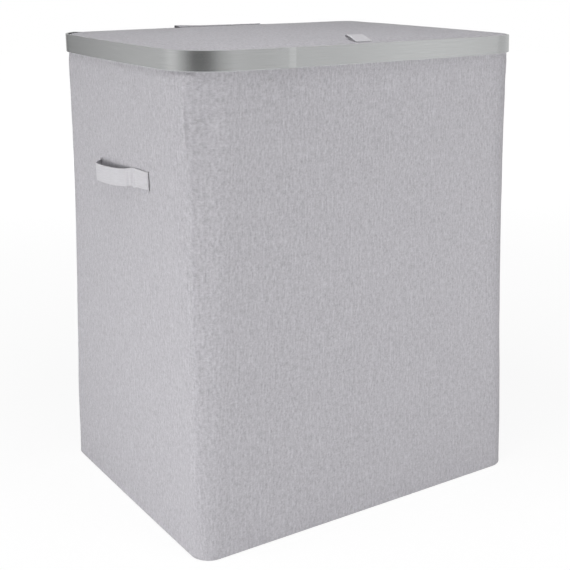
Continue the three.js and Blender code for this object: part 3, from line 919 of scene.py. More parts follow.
# Pairs of heights between which something comes in, or goes out where the first is higher
BAND_HOLD = (BAND_BOTTOM - 14 * MM, BAND_BOTTOM + 2 * MM)
FOOT_HOLD = (4 * MM, 60 * MM)
PULL_START = (0.10, 0.42)
SPREAD_START = (0.20, 0.06)
RIDGE_START = (-0.02, 0.12)
RIDGE_TOP = (0.45, 0.52)
HOLLOW_START = (0.38, 0.53)
FOLD_START = (0.48, 0.52)
SLANT_START = (0.18, 0.55)
FOOT_PUCKER_START = (1 * MM, 5 * MM)

# Sizes in mm that change with the height: the size at first, and each change with the
# two heights that it lies between
CREASE_BLUNT = (0.25, (1.0, 0.5, 0.4), (4.0, 0.30, 0.08))
CREASE_DRIFT = (0.5, (4.0, 0.0, 0.1), (3.5, 0.465, 0.52))

# Ridges along the corners: their heights and reaches as shares of the sleeve's sizes
CORNER_RIDGES = {RIGHT_REAR: 0.4, LEFT_REAR: 0.3, LEFT_FRONT: 1.0, RIGHT_FRONT: 0.18}
CORNER_STRIP = 0.12
SIDE_REACH, FRONT_REACH, TOP_REACH = 1.35, 0.8, 0.25
TOP_HEIGHT = 0.5
SPREAD_REACH = 0.9

# Crest, hollow and second fold of the left front corner, by distance from its crease
CREST_HEIGHT, CREST_WIDTH = 0.5 * MM, 1.5 * MM
HOLLOW_MIDDLE, HOLLOW_WIDTH = 18 * MM, 9 * MM
FOLD_HEIGHT, FOLD_WIDTH = 1.6 * MM, 2 * MM
FOLD_MIDDLE, FOLD_SLANT, FOLD_TOP = 8.5 * MM, 0.06, 0.562

# Waves of the whole cloth, counted in a metre: soft ones with their shift and share,
# slanting folds, and puckers with their depth, height and reach at the band and the foot
SOFT_WAVES = ((16, Vector((0, 0, 0)), 0.45), (38, Vector((5, 2, 9)), 0.20))
SLANT_ACROSS, SLANT_LEAN, SLANT_UP = 26, 15, 7
SLANT_LEVEL, SLANT_SHARE = 0.25, 0.8
PUCKER_ACROSS, PUCKER_UP = 70, 12
BAND_PUCKER = (0.5 * MM, BAND_BOTTOM - 4 * MM, 16 * MM)
FOOT_PUCKER = (0.35 * MM, 8 * MM, 14 * MM)

# Steps of the sleeve's mesh, and the room that its lines leave each mark, as shares of
# the usual step
RUN_STEPS = {RIGHT: 1.6, RIGHT_REAR: 1.6, BACK: 1.6, LEFT_REAR: 1.3, LEFT_FRONT: 0.42}
CORNER_STEP, CORNER_CROWD = 0.6, 0.55
COLUMN_ROOM, ROW_ROOM = 0.4, 0.3
FLOOR_SHARES = (0.0, 0.4, 0.8)

# Room between the sleeve and the band's lip, how fast the pull under the band fades, and
# room round the handles in their slits
NECK_ROOM = 0.3 * MM
PULL_FADE = 32 * MM
SLIT_ROOM = 0.6 * MM


def sleeve_plan(context, z):
    """Outer face of the sleeve at one height"""
    sleeve = sizes(context, "sleeve")
    foot = Plan(sleeve.foot_width, sleeve.foot_depth, sleeve.foot_corner,
                sleeve.foot_bow, sleeve.foot_bow)
    neck = rim_plan(context).inset(sizes(context, "rim").lip + NECK_ROOM)
    share = min(1.0, max(0.0, z / BAND_BOTTOM))
    pull = sleeve.pull * (1 - math.exp(-max(0.0, BAND_BOTTOM - z) / PULL_FADE))
    waist = sleeve.waist * 4 * share * (1 - share) + pull * smooth(*PULL_START, z)
    return foot.mixed(neck, share).inset(waist)


def foot_swell(context, turn, z):
    """How far the right front corner of the sleeve spreads near the floor"""
    away = (turn % RUNS - RIGHT_FRONT - 0.5) / SPREAD_REACH
    return sizes(context, "sleeve").spread * bump(away, 0, 1) * smooth(*SPREAD_START, z)


def by_height(table, z):
    """A size that changes with the height, from its table in mm"""
    first, *changes = table
    return (first + sum(size * smooth(start, to, z) for size, start, to in changes)) * MM


def from_line(x, z, ends):
    """Distance of a point from a line between two ends, and its share along it"""
    x0, z0, x1, z1 = ends
    dx, dz = x1 - x0, z1 - z0
    share = ((x - x0) * dx + (z - z0) * dz) / (dx * dx + dz * dz)
    share = min(1.0, max(0.0, share))
    return math.hypot(x - x0 - share * dx, z - z0 - share * dz), share


def drifted(plan, turn, z):
    """Turn of a column of the mesh, so that one column follows each corner's crease,
    which lies off the corner's middle, towards the side"""
    run = int(turn // 1) % RUNS
    if run not in CORNERS:
        return turn
    away = 2 * (turn - turn // 1) - 1
    share = by_height(CREASE_DRIFT, z) / plan.lengths[run] * (1 - away * away) ** 2
    return turn + share if run in (LEFT_REAR, RIGHT_FRONT) else turn - share


def corner_relief(context, run, away, z):
    """How far the cloth stands out near a corner's crease. away is the distance from the
    crease, above 0 towards the front or back and below 0 towards the side."""
    sleeve = sizes(context, "sleeve")
    under_band = 1 - smooth(*BAND_HOLD, z)
    free = under_band * smooth(*FOOT_HOLD, z)
    top = smooth(*RIDGE_TOP, z)
    blunt = by_height(CREASE_BLUNT, z)
    reach = sleeve.ridge_reach * (SIDE_REACH if away < 0 else FRONT_REACH + TOP_REACH * top)
    tip = math.hypot(away, blunt) - blunt
    ridge = sleeve.ridge * CORNER_RIDGES[run] * math.exp(-tip / reach)
    push = ridge * free * smooth(*RIDGE_START, z) * (1 + TOP_HEIGHT * top)
    if run == LEFT_FRONT:
        push += CREST_HEIGHT * bump(away, 0, CREST_WIDTH) * free * top
        hollow = bump(away, HOLLOW_MIDDLE, HOLLOW_WIDTH) * smooth(*HOLLOW_START, z)
        push -= sleeve.hollow * hollow * free
        fold_middle = FOLD_MIDDLE - FOLD_SLANT * max(0.0, FOLD_TOP - z)
        fold = bump(away, fold_middle, FOLD_WIDTH) * smooth(*FOLD_START, z)
        push += FOLD_HEIGHT * fold * under_band
    return push


def wave_relief(context, place, z):
    """How far the cloth waves in and out, with small puckers at the band and the foot"""
    free = (1 - smooth(*BAND_HOLD, z)) * smooth(*FOOT_HOLD, z)
    soft = sum(noise.noise(place * waves + shift) * share
               for waves, shift, share in SOFT_WAVES)
    lean = place.z * SLANT_LEAN
    slant = wave_at(place.x * SLANT_ACROSS + lean, place.y * SLANT_ACROSS + lean,
                    place.z * SLANT_UP)
    fold = (abs(slant) - SLANT_LEVEL) * SLANT_SHARE * smooth(*SLANT_START, z)
    push = sizes(context, "sleeve").crease * (soft + fold) * free
    pucker = wave_at(place.x * PUCKER_ACROSS, place.y * PUCKER_ACROSS, place.z * PUCKER_UP)
    band_height, *band_line = BAND_PUCKER
    foot_height, *foot_line = FOOT_PUCKER
    push += band_height * pucker * bump(z, *band_line)
    push += foot_height * pucker * bump(z, *foot_line) * smooth(*FOOT_PUCKER_START, z)
    return push


def cloth_relief(context, plan, turn, place, z):
    """How far the cloth stands out of its plan at one place"""
    push = wave_relief(context, place, z)
    perimeter = sum(plan.lengths)
    here = plan.walked(turn)
    for run in CORNERS:
        away = (here - plan.walked(run + 0.5) + perimeter / 2) % perimeter - perimeter / 2
        if run in (LEFT_REAR, RIGHT_FRONT):
            away = -away
        if abs(away) < CORNER_STRIP:
            push += corner_relief(context, run, away + by_height(CREASE_DRIFT, z), z)
    if place.y < FRONT_Y + FACE_DEPTH:
        for *ends, half_width, height in FACE_CREASES:
            away, share = from_line(place.x, z, ends)
            swell = math.sin(math.pi * (FACE_CREASE_START + FACE_CREASE_SPAN * share))
            swell *= bump(away, 0, half_width)
            push += sizes(context, "sleeve").crease * height * swell
    return push


def with_marks(values, marks, near):
    """The values with the marks put in, and without those that crowd a mark"""
    kept = [v for v in values if all(abs(v - m) > near for m in marks)]
    return sorted(kept + list(marks))


def slit_places(context):
    """Front, rear, bottom and top of the slits that a side handle passes through"""
    slit = sizes(context, "ribbons").slit
    bottom, top = low("side_handle_left").z, high("side_handle_left").z
    front = low("side_handle_left").y - SLIT_ROOM
    rear = high("side_handle_left").y + SLIT_ROOM
    places = []
    for start, (_, _, rise) in ((front, HANDLE_SHAPE[-1]), (rear - slit, HANDLE_SHAPE[0])):
        places.append((start, start + slit, bottom + rise * MM - SLIT_ROOM,
                       top + rise * MM + SLIT_ROOM))
    return places


def in_slit(spot, slits):
    return any(front < spot.y < rear and bottom < spot.z < top
               for front, rear, bottom, top in slits)


def build_sleeve(context):
    sleeve = sizes(context, "sleeve")
    slits = slit_places(context)
    handle_plan = sleeve_plan(context, high("side_handle_left").z)
    middle = sleeve_plan(context, BAND_BOTTOM / 2)
    turns = middle.turns(sleeve.grid, sleeve.grid * CORNER_STEP, crowd=CORNER_CROWD,
                         scales=RUN_STEPS)
    marks = [handle_plan.turn_at_y(run, y) % RUNS
             for run in (RIGHT, LEFT) for slit in slits for y in slit[:2]]
    turns = with_marks(turns, marks, COLUMN_ROOM * sleeve.grid / middle.lengths[RIGHT])
    wall_low = sleeve.foot_edge
    rows = even(wall_low, SEAT, round((SEAT - wall_low) / sleeve.grid))
    rows = with_marks(rows, [z for slit in slits for z in slit[2:]], ROW_ROOM * sleeve.grid)
    foot = sleeve_plan(context, 0).inset(sleeve.foot_edge)
    levels = bowl_levels(FLOOR_SHARES, ROUND_STEPS, rows)
    plans = {z: sleeve_plan(context, z) for z in rows}

    def place(turn, level):
        kind, value = level
        if kind == "wall":
            plan = plans[value]
            turn = drifted(plan, turn, value)
            ring, normal = plan.point(turn)
            ring.z = value
            push = cloth_relief(context, plan, turn, ring, value)
            return ring + normal * (push + foot_swell(context, turn, value))
        ring, normal = foot.point(turn)
        ring += normal * foot_swell(context, turn, 0)
        return foot_point(ring, normal, sleeve.foot_edge, 0, level)

    bm = bmesh.new()
    lay_grid(bm, turns, levels, place, bowl_measure(middle, place))
    cut = [face for face in bm.faces if in_slit(face.calc_center_median(), slits)]
    bmesh.ops.delete(bm, geom=cut, context="FACES")
    piece = finish_bmesh(bm, "sleeve_cloth", finish_of(context, heathered_cloth))
    face_outwards(piece, Vector((0, 0, BAND_BOTTOM / 2)))
    thicken(piece, sleeve.cloth)
    return piece


class HAMPER_OT_sleeve(bpy.types.Operator):
    """Builds the cloth sleeve"""

    bl_idname = "hamper.sleeve"
    bl_label = "Sleeve"

    def execute(self, context):
        sleeve = sizes(context, "sleeve")
        piece = build_sleeve(context)
        dress(piece, "root", "cover_fabric", "outer_cover")
        return {"FINISHED"}


# Rim band

# Mesh of the band, and the most of a side that the rounding of its corner may take
BAND_STEP, BAND_CORNER_STEP = 12 * MM, 2.2 * MM
EDGE_STEPS = 3
MOST_OF_SIDE = 0.49
SHARP = math.radians(50)

# The lap: room between its metals, the step where the tongue starts, its crest as a
# share of its length, and the power by which it falls from there to its end
LAP_ROOM = 0.3 * MM
LAP_HAIR = 0.02 * MM
LAP_STEPS, TONGUE_STEPS = 12, 14
LAP_CREST = 0.45
LAP_FALL = 1.15

# How far a normal has to turn right or back before the band leans or sags there
FACING_RIGHT = (0.35, 0.9)
FACING_BACK = (0.8, 0.99)


def rounded(points, radius):
    """A closed outline with each corner rounded by up to its radius"""
    made = []
    count = len(points)
    for i, here in enumerate(points):
        before, after = points[i - 1], points[(i + 1) % count]
        to_before, to_after = before - here, after - here
        cut = min(radius, to_before.length * MOST_OF_SIDE, to_after.length * MOST_OF_SIDE)
        start = here + to_before.normalized() * cut
        end = here + to_after.normalized() * cut
        for t in even(0, 1, EDGE_STEPS):
            made.append(start * (1 - t) ** 2 + here * 2 * t * (1 - t) + end * t * t)
    return made


def band_section(rim):
    """Closed outline of the band's sheet with its lips: how far in, and height"""
    top, bottom, sheet, lip = RIM_TOP, BAND_BOTTOM, rim.sheet, rim.lip
    outline = [Vector(corner) for corner in (
        (0, bottom), (0, bottom + 2 * sheet), (0, top - 2 * sheet), (0, top),
        (lip, top), (lip, top - sheet), (sheet, top - sheet),
        (sheet, bottom + sheet), (lip, bottom + sheet), (lip, bottom))]
    made = rounded(outline, rim.edge_round)
    return made + made[:1]


def build_band(context, name, half_turn):
    """One piece of the band: a body, and a tongue that lies over the other piece"""
    rim = sizes(context, "rim")
    plan = rim_plan(context)
    section = band_section(rim)
    walked = walks(section)
    front = plan.lengths[FRONT]
    lap_start = -rim.lap_end - rim.lap_length
    front_start = plan.turn_at_x(FRONT, lap_start)
    front_end = plan.turn_at_x(FRONT, -rim.lap_end)
    rear_end = plan.turn_at_x(BACK, -lap_start - LAP_ROOM)
    root = plan.turn_at_x(FRONT, lap_start - rim.lap_rise)
    turns = plan.turns(BAND_STEP, BAND_CORNER_STEP, rear_end, front_start)
    turns = [turn for turn in turns if turn < root] + even(root, front_start, LAP_STEPS)
    turns += even(front_start + LAP_HAIR / front, front_end, TONGUE_STEPS)
    crest = rim.lap_length * LAP_CREST

    def place(turn, k):
        inset, z = section[k]
        base, normal = plan.point(turn + half_turn)
        walk = (turn - front_start) * front
        stand = (rim.sheet + LAP_ROOM + rim.lap_spring) * smooth(-rim.lap_rise, crest, walk)
        fall = max(0.0, (walk - crest) / (rim.lap_length - crest)) ** LAP_FALL
        stand -= rim.lap_spring * fall
        outside = inset < rim.sheet / 2
        if turn > front_start:
            inset = -stand if outside else rim.sheet - stand
        elif outside:
            inset -= stand
        share = (z - BAND_BOTTOM) / (RIM_TOP - BAND_BOTTOM)
        right = smooth(*FACING_RIGHT, normal.x)
        spot = base - normal * (inset + rim.lean * right * share)
        spot.z = z - rim.sag * share * max(right, smooth(*FACING_BACK, normal.y))
        return spot

    bm = bmesh.new()
    lay_grid(bm, turns, range(len(section)), place,
             lambda turn, k: (plan.walked(turn), walked[k]))
    return finish_bmesh(bm, name, finish_of(context, brushed_aluminium), fill=True,
                        sharp=SHARP)


class HAMPER_OT_band(bpy.types.Operator):
    """Builds the two pieces of the rim band, which lap at the front and at the back"""

    bl_idname = "hamper.band"
    bl_label = "Rim band"

    def execute(self, context):
        for side, half_turn in (("left", 0), ("right", RUNS / 2)):
            piece = build_band(context, f"band_{side}", half_turn)
            dress(piece, "root", "band_aluminium", f"rim_band_{side}")
        return {"FINISHED"}


# Lid

# x and y of both ends of the fold behind which the lid's middle sinks
LID_FOLD = (-0.236, -0.020, -0.062, 0.135)
LID_FOLD_FADE = 45 * MM

# How far in from its edges the lid's crown falls off, and the soft ripples over it
LID_SIDE_FALL, LID_BACK_FALL, LID_FRONT_FALL = 50 * MM, 55 * MM, 35 * MM
LID_RIPPLE, LID_WAVES, LID_WAVE_ROW = 0.25 * MM, 14, 3
LID_RIPPLE_EDGE = 0.02

# Mesh of the lid's cloth, its hem, and what its sheet has over the rim's own size
LID_STEP, LID_CORNER_STEP = 6 * MM, 5 * MM
LID_TOP_SHARES = [0.0] + even(0.04, 1.0, 34)
LID_SIDE_SHARES = (0.5, 1.0)
HEM_SHARES = (0.1, 0.5, 1.0)
HEM_WIDTH, HEM_START, HEM_LIFT = 12 * MM, 0.5 * MM, 0.5 * MM
SIDE_LIFT = 0.4 * MM

LINING_BORDER = 5 * MM
LINING_STEP, LINING_CORNER_STEP = 12 * MM, 8 * MM
LINING_LEVELS = (
    # which face of the lining, and how far out from its middle
    ("under", 0.0), ("under", 0.3), ("under", 0.6), ("under", 0.9), ("under", 0.985),
    ("edge", 1.0), ("over", 1.0), ("over", 0.97),
)


def lid_height(context, x, y):
    """Top of the lid's cloth over one place: flat in front, and sinking behind a fold"""
    lid = sizes(context, "lid")
    edge = LID_TOP - lid.crown
    half_width = high("lid_cover").x
    half_depth = (high("lid_cover").y - low("lid_cover").y) / 2
    x0, y0, x1, y1 = LID_FOLD
    run = math.hypot(x1 - x0, y1 - y0)
    past = ((x1 - x0) * (y - y0) - (y1 - y0) * (x - x0)) / run
    corner = math.exp(-max(0.0, past) / LID_FOLD_FADE)
    y -= CENTRE_Y
    sides = smooth(0, LID_SIDE_FALL, half_width - abs(x))
    back = smooth(0, LID_BACK_FALL, half_depth - y)
    front = smooth(0, LID_FRONT_FALL, half_depth + y)
    return edge + (lid.crown + lid.loft) * sides * min(back, corner) * front


def lid_plan(context):
    return rim_plan(context).inset(sizes(context, "rim").lip + sizes(context, "lid").gap)


def build_lid_cloth(context):
    """The cloth over the lid's board, down its side and turned in under it as a hem"""
    lid = sizes(context, "lid")
    plan = lid_plan(context)
    inner = plan.inset(lid.edge_round)
    levels = [("top", share) for share in LID_TOP_SHARES]
    levels += [("round", math.pi / 2 * i / ROUND_STEPS) for i in range(1, ROUND_STEPS + 1)]
    levels += [("side", share) for share in LID_SIDE_SHARES]
    levels += [("under", share) for share in HEM_SHARES]

    def place(turn, level):
        kind, value = level
        ring, normal = inner.point(turn)
        rim_z = lid_height(context, ring.x, ring.y)
        if kind == "top":
            spot = CENTRE.lerp(ring, value)
            ripple = wave_at(spot.x * LID_WAVES, spot.y * LID_WAVES, LID_WAVE_ROW)
            ripple *= smooth(0, LID_RIPPLE_EDGE, 1 - value)
            spot.z = lid_height(context, spot.x, spot.y) + LID_RIPPLE * ripple
            return spot
        if kind == "round":
            spot = ring + normal * lid.edge_round * math.sin(value)
            spot.z = rim_z - lid.edge_round * (1 - math.cos(value))
            return spot
        outer = ring + normal * lid.edge_round
        if kind == "side":
            outer.z = rim_z - lid.edge_round
            outer.z += (LID_BOTTOM + SIDE_LIFT - outer.z) * value
            return outer
        spot = outer - normal * (HEM_START + HEM_WIDTH * value)
        spot.z = LID_BOTTOM + HEM_LIFT
        return spot

    bm = bmesh.new()
    lay_grid(bm, plan.turns(LID_STEP, LID_CORNER_STEP), levels, place, from_above(place))
    piece = finish_bmesh(bm, "lid_cloth", finish_of(context, heathered_cloth))
    face_outwards(piece, Vector((0, 0, (LID_TOP + LID_BOTTOM) / 2)))
    thicken(piece, lid.cloth)
    return piece


def build_lid_lining(context):
    plan = lid_plan(context).inset(LINING_BORDER)
    top, bottom = high("lid_lining").z, low("lid_lining").z
    heights = {"under": bottom, "edge": (bottom + top) / 2, "over": top}

    def place(turn, level):
        kind, share = level
        spot = CENTRE.lerp(plan.point(turn)[0], share)
        spot.z = heights[kind]
        return spot

    bm = bmesh.new()
    lay_grid(bm, plan.turns(LINING_STEP, LINING_CORNER_STEP), LINING_LEVELS, place,
             from_above(place))
    return finish_bmesh(bm, "lid_lining_cloth", finish_of(context, lining_cloth), fill=True)


class HAMPER_OT_lid(bpy.types.Operator):
    """Builds the lid's cloth and its lining"""

    bl_idname = "hamper.lid"
    bl_label = "Lid"

    def execute(self, context):
        rim = sizes(context, "rim")
        cloth = build_lid_cloth(context)
        dress(cloth, "lid", "cover_fabric", "lid_cover")
        lining = build_lid_lining(context)
        dress(lining, "lid", "lining_fabric", "lid_lining")
        return {"FINISHED"}


# Hinge flap

LID_HINGE = next(j for j in frame["joints"] if j["name"] == "lid_hinge")["pos_m"]
UNDER_HINGE = 0.55 * MM
PIVOT = Vector((0, LID_HINGE[1], LID_HINGE[2] - UNDER_HINGE))

# Steps of the leaves, their room over what they lie on, the heights between which the
# lower one steps out round the band, and their edges' rounding as a share of the cloth
RIM_LEAF_STEPS, LID_LEAF_STEPS, FLAP_STEPS = 22, 16, 24
FLAP_WALL_ROOM, FLAP_LID_ROOM = 0.3 * MM, 0.2 * MM
FLAP_STEP_OUT = (BAND_BOTTOM - 7 * MM, BAND_BOTTOM - 1 * MM)
FLAP_EDGE = 0.3
FOLD_ENDS, FOLD_SIDES = 0.4 * MM, 16

# Distances from the hinge between which a leaf takes the back's bow, and loses its drop,
# then its ripple, and the curl of its left end
FLAP_BOW = (1 * MM, 12 * MM)
FLAP_LEVEL = (14 * MM, 3 * MM)
FLAP_RIPPLE, FLAP_WAVES_ACROSS, FLAP_WAVES_ALONG = 0.2 * MM, 30, 20
FLAP_CURL, FLAP_CURL_START = 1.4 * MM, (-20 * MM, -64 * MM)
FLAP_CURL_MIDDLE, FLAP_CURL_REACH = 8 * MM, 9 * MM


def flap_shape(context, raise_end):
    """Lays a flap leaf along the bowed back, and curls its left end up a little"""
    plan = rim_plan(context)
    lid = sizes(context, "lid")
    crest = plan.point(plan.turn_at_x(BACK, 0))[0].y

    def shape(spot):
        away = (spot - Vector((spot.x, PIVOT.y, PIVOT.z))).length
        bow = plan.point(plan.turn_at_x(BACK, spot.x))[0].y - crest
        spot.y += bow * smooth(*FLAP_BOW, away)
        share = (spot.x - lid.flap_middle) / lid.flap_width + 0.5
        spot.z -= lid.flap_drop * share * smooth(*FLAP_LEVEL, away)
        ripple = wave_at(spot.x * FLAP_WAVES_ACROSS, spot.y * FLAP_WAVES_ALONG,
                         spot.z * FLAP_WAVES_ALONG)
        curl = smooth(*FLAP_CURL_START, spot.x) * bump(away, FLAP_CURL_MIDDLE,
                                                       FLAP_CURL_REACH)
        return spot + raise_end * (FLAP_RIPPLE * ripple + FLAP_CURL * curl)

    return shape


def build_flap_leaf(context, name, path, raise_end):
    lid = sizes(context, "lid")
    shape = flap_shape(context, raise_end)
    half = lid.flap_width / 2
    walked = walks(path)
    bm = bmesh.new()
    lay_grid(bm, even(lid.flap_middle - half, lid.flap_middle + half, FLAP_STEPS),
             range(len(path)), lambda x, i: shape(path[i] + Vector((x, 0, 0))),
             lambda x, i: (x, walked[i]))
    piece = finish_bmesh(bm, name, finish_of(context, heathered_cloth))
    thicken(piece, lid.flap_cloth, offset=0.0)
    bevel = piece.modifiers.new("Edges", "BEVEL")
    bevel.width = lid.flap_cloth * FLAP_EDGE
    bevel.segments = 2
    bevel.limit_method = "ANGLE"
    apply_modifiers(piece)
    return piece


def rim_leaf_path(context):
    """The lower leaf's line: up the wall, out round the band and up to the hinge"""
    half = sizes(context, "lid").flap_cloth / 2
    bottom = low("hinge_flap_rim").z
    wall = sleeve_plan(context, bottom).point(BACK + 0.5)[0].y + half + FLAP_WALL_ROOM
    behind = PIVOT.y - half
    return [Vector((0, wall + (behind - wall) * smooth(*FLAP_STEP_OUT, z), z))
            for z in even(bottom, PIVOT.z - half, RIM_LEAF_STEPS)]


def lid_leaf_path(context):
    """The upper leaf's line: from the hinge over the band and along the lid"""
    half = sizes(context, "lid").flap_cloth / 2
    path = []
    for y in even(PIVOT.y - half, low("hinge_flap_lid").y, LID_LEAF_STEPS):
        z = lid_height(context, 0, y) + half + FLAP_LID_ROOM
        if y > high("lid_cover").y:
            z = max(z, RIM_TOP + half)
        path.append(Vector((0, y, z)))
    return path


def build_flap_fold(context):
    """The round fold between the leaves, along the hinge"""
    lid = sizes(context, "lid")
    half = lid.flap_cloth / 2
    place = Matrix.Translation(PIVOT - Vector((0, half, half)))
    bm = bmesh.new()
    bmesh.ops.create_cone(bm, cap_ends=True, segments=FOLD_SIDES, radius1=half,
                          radius2=half, depth=lid.flap_width - FOLD_ENDS,
                          matrix=place @ Matrix.Rotation(math.pi / 2, 4, "Y"))
    for vert in bm.verts:
        vert.co.z -= lid.flap_drop * (vert.co.x / lid.flap_width + 0.5)
        vert.co.x += lid.flap_middle
    layer = bm.loops.layers.uv.new(CLOTH_UV)
    for face in bm.faces:
        for loop in face.loops:
            spot = loop.vert.co
            loop[layer].uv = (spot.x, spot.y + spot.z)
    return finish_bmesh(bm, "flap_fold", finish_of(context, heathered_cloth), sharp=SHARP)


class HAMPER_OT_flap(bpy.types.Operator):
    """Builds the two leaves of the hinge flap and the fold between them"""

    bl_idname = "hamper.flap"
    bl_label = "Hinge flap"

    def execute(self, context):
        lid = sizes(context, "lid")
        still, up = Vector((0, 0, 0)), Vector((0, 0, 1))
        rim_leaf = build_flap_leaf(context, "flap_on_rim", rim_leaf_path(context), still)
        dress(rim_leaf, "root", "cover_fabric", "hinge_flap_rim")
        lid_leaf = build_flap_leaf(context, "flap_on_lid", lid_leaf_path(context), up)
        dress(lid_leaf, "lid", "cover_fabric", "hinge_flap_lid")
        dress(build_flap_fold(context), "root", "cover_fabric")
        return {"FINISHED"}


# Pull tab

TAB_SHAPE = (
    # share of the way from the front to the back, and lift over the lid in mm
    (0.15, 0.0), (0.3, 0.2), (0.6, 0.8), (0.85, 1.9), (0.97, 2.6), (1.0, 3.3), (0.94, 4.1),
    (0.8, 3.9), (0.5, 2.8), (0.25, 1.8), (0.10, 1.0), (0.03, 0.3), (0, -0.4),
)

# Room behind the tab, and its ribbon's thickness as a share of the handles'
TAB_STEPS = 60
TAB_BACK_ROOM = 2 * MM
TAB_THIN = 0.8

# Waves of the tab's ribbon, and the shares of its length where they come in and go out
TAB_LIFT, TAB_LIFT_START, TAB_LIFT_END = 0.5 * MM, (0.2, 0.45), (0.95, 0.7)
TAB_LIFT_ACROSS, TAB_LIFT_ALONG, TAB_LIFT_ROW = 70, 50, 4
TAB_SKEW, TAB_SKEW_START, TAB_SKEW_END = 1.3 * MM, (0.3, 0.5), (0.9, 0.7)
TAB_SKEW_ACROSS, TAB_SKEW_ROW = 110, (1, 2)


def tab_shape(spot, i, offset):
    """Waves the tab's upper leaf up and down, and its free edge to and fro"""
    share = i / TAB_STEPS
    lift = wave_at(spot.x * TAB_LIFT_ACROSS, spot.y * TAB_LIFT_ALONG, TAB_LIFT_ROW)
    skew = wave_at(spot.x * TAB_SKEW_ACROSS, *TAB_SKEW_ROW)
    lift *= smooth(*TAB_LIFT_START, share) * smooth(*TAB_LIFT_END, share)
    skew *= smooth(*TAB_SKEW_START, share) * smooth(*TAB_SKEW_END, share)
    return spot + Vector((0, TAB_SKEW * skew, TAB_LIFT * lift))


def build_tab(context):
    thickness = sizes(context, "ribbons").thickness
    half = thickness / 2
    front, back = low("pull_tab").y, high("pull_tab").y - TAB_BACK_ROOM
    middle = (low("pull_tab").x + high("pull_tab").x) / 2
    points = []
    for along, lift in TAB_SHAPE:
        y = front + half + (back - front - thickness) * along
        z = max(lid_height(context, middle, y), low("pull_tab").z) + half + lift * MM
        points.append(Vector((middle, y, z)))
    bm = bmesh.new()
    add_strip(bm, line_through(points, TAB_STEPS), lambda i: Vector((1, 0, 0)),
              sizes(context, "lid").tab_width, thickness * TAB_THIN, shape=tab_shape)
    return finish_bmesh(bm, "tab_ribbon", finish_of(context, ribbon_cloth), fill=True)


class HAMPER_OT_tab(bpy.types.Operator):
    """Builds the folded ribbon on the lid's front edge"""

    bl_idname = "hamper.tab"
    bl_label = "Pull tab"

    def execute(self, context):
        dress(build_tab(context), "tab", "ribbon", "pull_tab")
        return {"FINISHED"}


# Side handles

HANDLE_SHAPE = (
    # share of the way from the rear to the front, place out of the wall as a share of
    # the bow, and rise over the middle in mm
    (0.000, -0.60, -2.2), (0.003, -0.20, -2.2), (0.010, 0.15, -2.7), (0.025, 0.48, -3.4),
    (0.045, 0.68, -4.2), (0.085, 0.78, -4.7), (0.150, 0.80, -4.7), (0.240, 0.77, -4.4),
    (0.380, 0.67, -3.7), (0.500, 0.54, -2.4), (0.600, 0.36, -0.8), (0.665, 0.12, 1.2),
    (0.730, 0.04, 2.2), (0.790, 0.11, 2.5), (0.870, 0.09, 2.6), (0.950, 0.06, 2.6),
    (0.976, -0.05, 2.6), (0.981, -0.30, 2.6), (0.981, -0.60, 2.6),
)


# Pinch, ripple, sag and lift of the handle's ribbon. The shares are of its length.
HANDLE_STEPS = 190
HANDLE_PINCH, PINCH_TOP, PINCH_LOW_EDGE = 2.4 * MM, 0.75, 0.5
HANDLE_PINCHES = (
    # share of the ribbon's length, reach, and depth, below 0 where it stands out
    (0.632, 0.009, 1.0), (0.668, 0.012, -0.9), (0.585, 0.014, 0.45),
)
HANDLE_RIPPLE, HANDLE_RIPPLE_START = 0.35 * MM, (0.05, 0.2)
HANDLE_WAVES_ALONG, HANDLE_WAVES_UP, HANDLE_WAVE_ROW = 45, 40, 7
HANDLE_SAG, HANDLE_SAG_PLACE = 1.8 * MM, (0.67, 0.05)
HANDLE_LIFT, HANDLE_LIFT_START = 0.9 * MM, (0.78, 0.9)

# Two places out from the wall that build_handle gives back: the first this far out, and the
# second at this share of the bow
BEND_START, BEND_END = 2 * MM, 0.6


def handle_shape(out, height):
    """Pinches the ribbon where its slack loop starts and ripples the rest. out is the
    way out of the wall, and height the ribbon's width."""
    def shape(spot, i, offset):
        share = i / HANDLE_STEPS
        low_edge = smooth(0, -1, 2 * offset / height)
        pinch = sum(depth * bump(share, middle, reach)
                    for middle, reach, depth in HANDLE_PINCHES)
        pinch *= PINCH_TOP + PINCH_LOW_EDGE * low_edge
        ripple = wave_at(spot.y * HANDLE_WAVES_ALONG, spot.z * HANDLE_WAVES_UP,
                         HANDLE_WAVE_ROW) * smooth(*HANDLE_RIPPLE_START, share)
        spot.z -= HANDLE_SAG * bump(share, *HANDLE_SAG_PLACE) * low_edge
        spot.z += HANDLE_LIFT * smooth(*HANDLE_LIFT_START, share) * low_edge
        return spot + out * (HANDLE_RIPPLE * ripple - HANDLE_PINCH * pinch)

    return shape


def build_handle(context, side, run):
    """A side's ribbon, and the two places between which it bends away from the wall"""
    thickness = sizes(context, "ribbons").thickness
    start, end = BOXES[f"side_handle_{side}"]
    height, middle = end.z - start.z, (start.z + end.z) / 2
    plan = sleeve_plan(context, middle)
    wall, out = plan.point(plan.turn_at_y(run, (start.y + end.y) / 2))
    bow = max(abs(start.x), abs(end.x)) - abs(wall.x) - thickness
    points = []
    for along, stand, rise in HANDLE_SHAPE:
        y = end.y + (start.y - end.y) * along
        spot, normal = plan.point(plan.turn_at_y(run, y))
        spot += normal * (stand * bow)
        spot.z = middle + rise * MM
        points.append(spot)
    bm = bmesh.new()
    add_strip(bm, line_through(points, HANDLE_STEPS), lambda i: Vector((0, 0, 1)), height,
              thickness, shape=handle_shape(out, height))
    piece = finish_bmesh(bm, f"handle_ribbon_{side}", finish_of(context, ribbon_cloth),
                         fill=True)
    return piece, wall + out * BEND_START, wall + out * bow * BEND_END


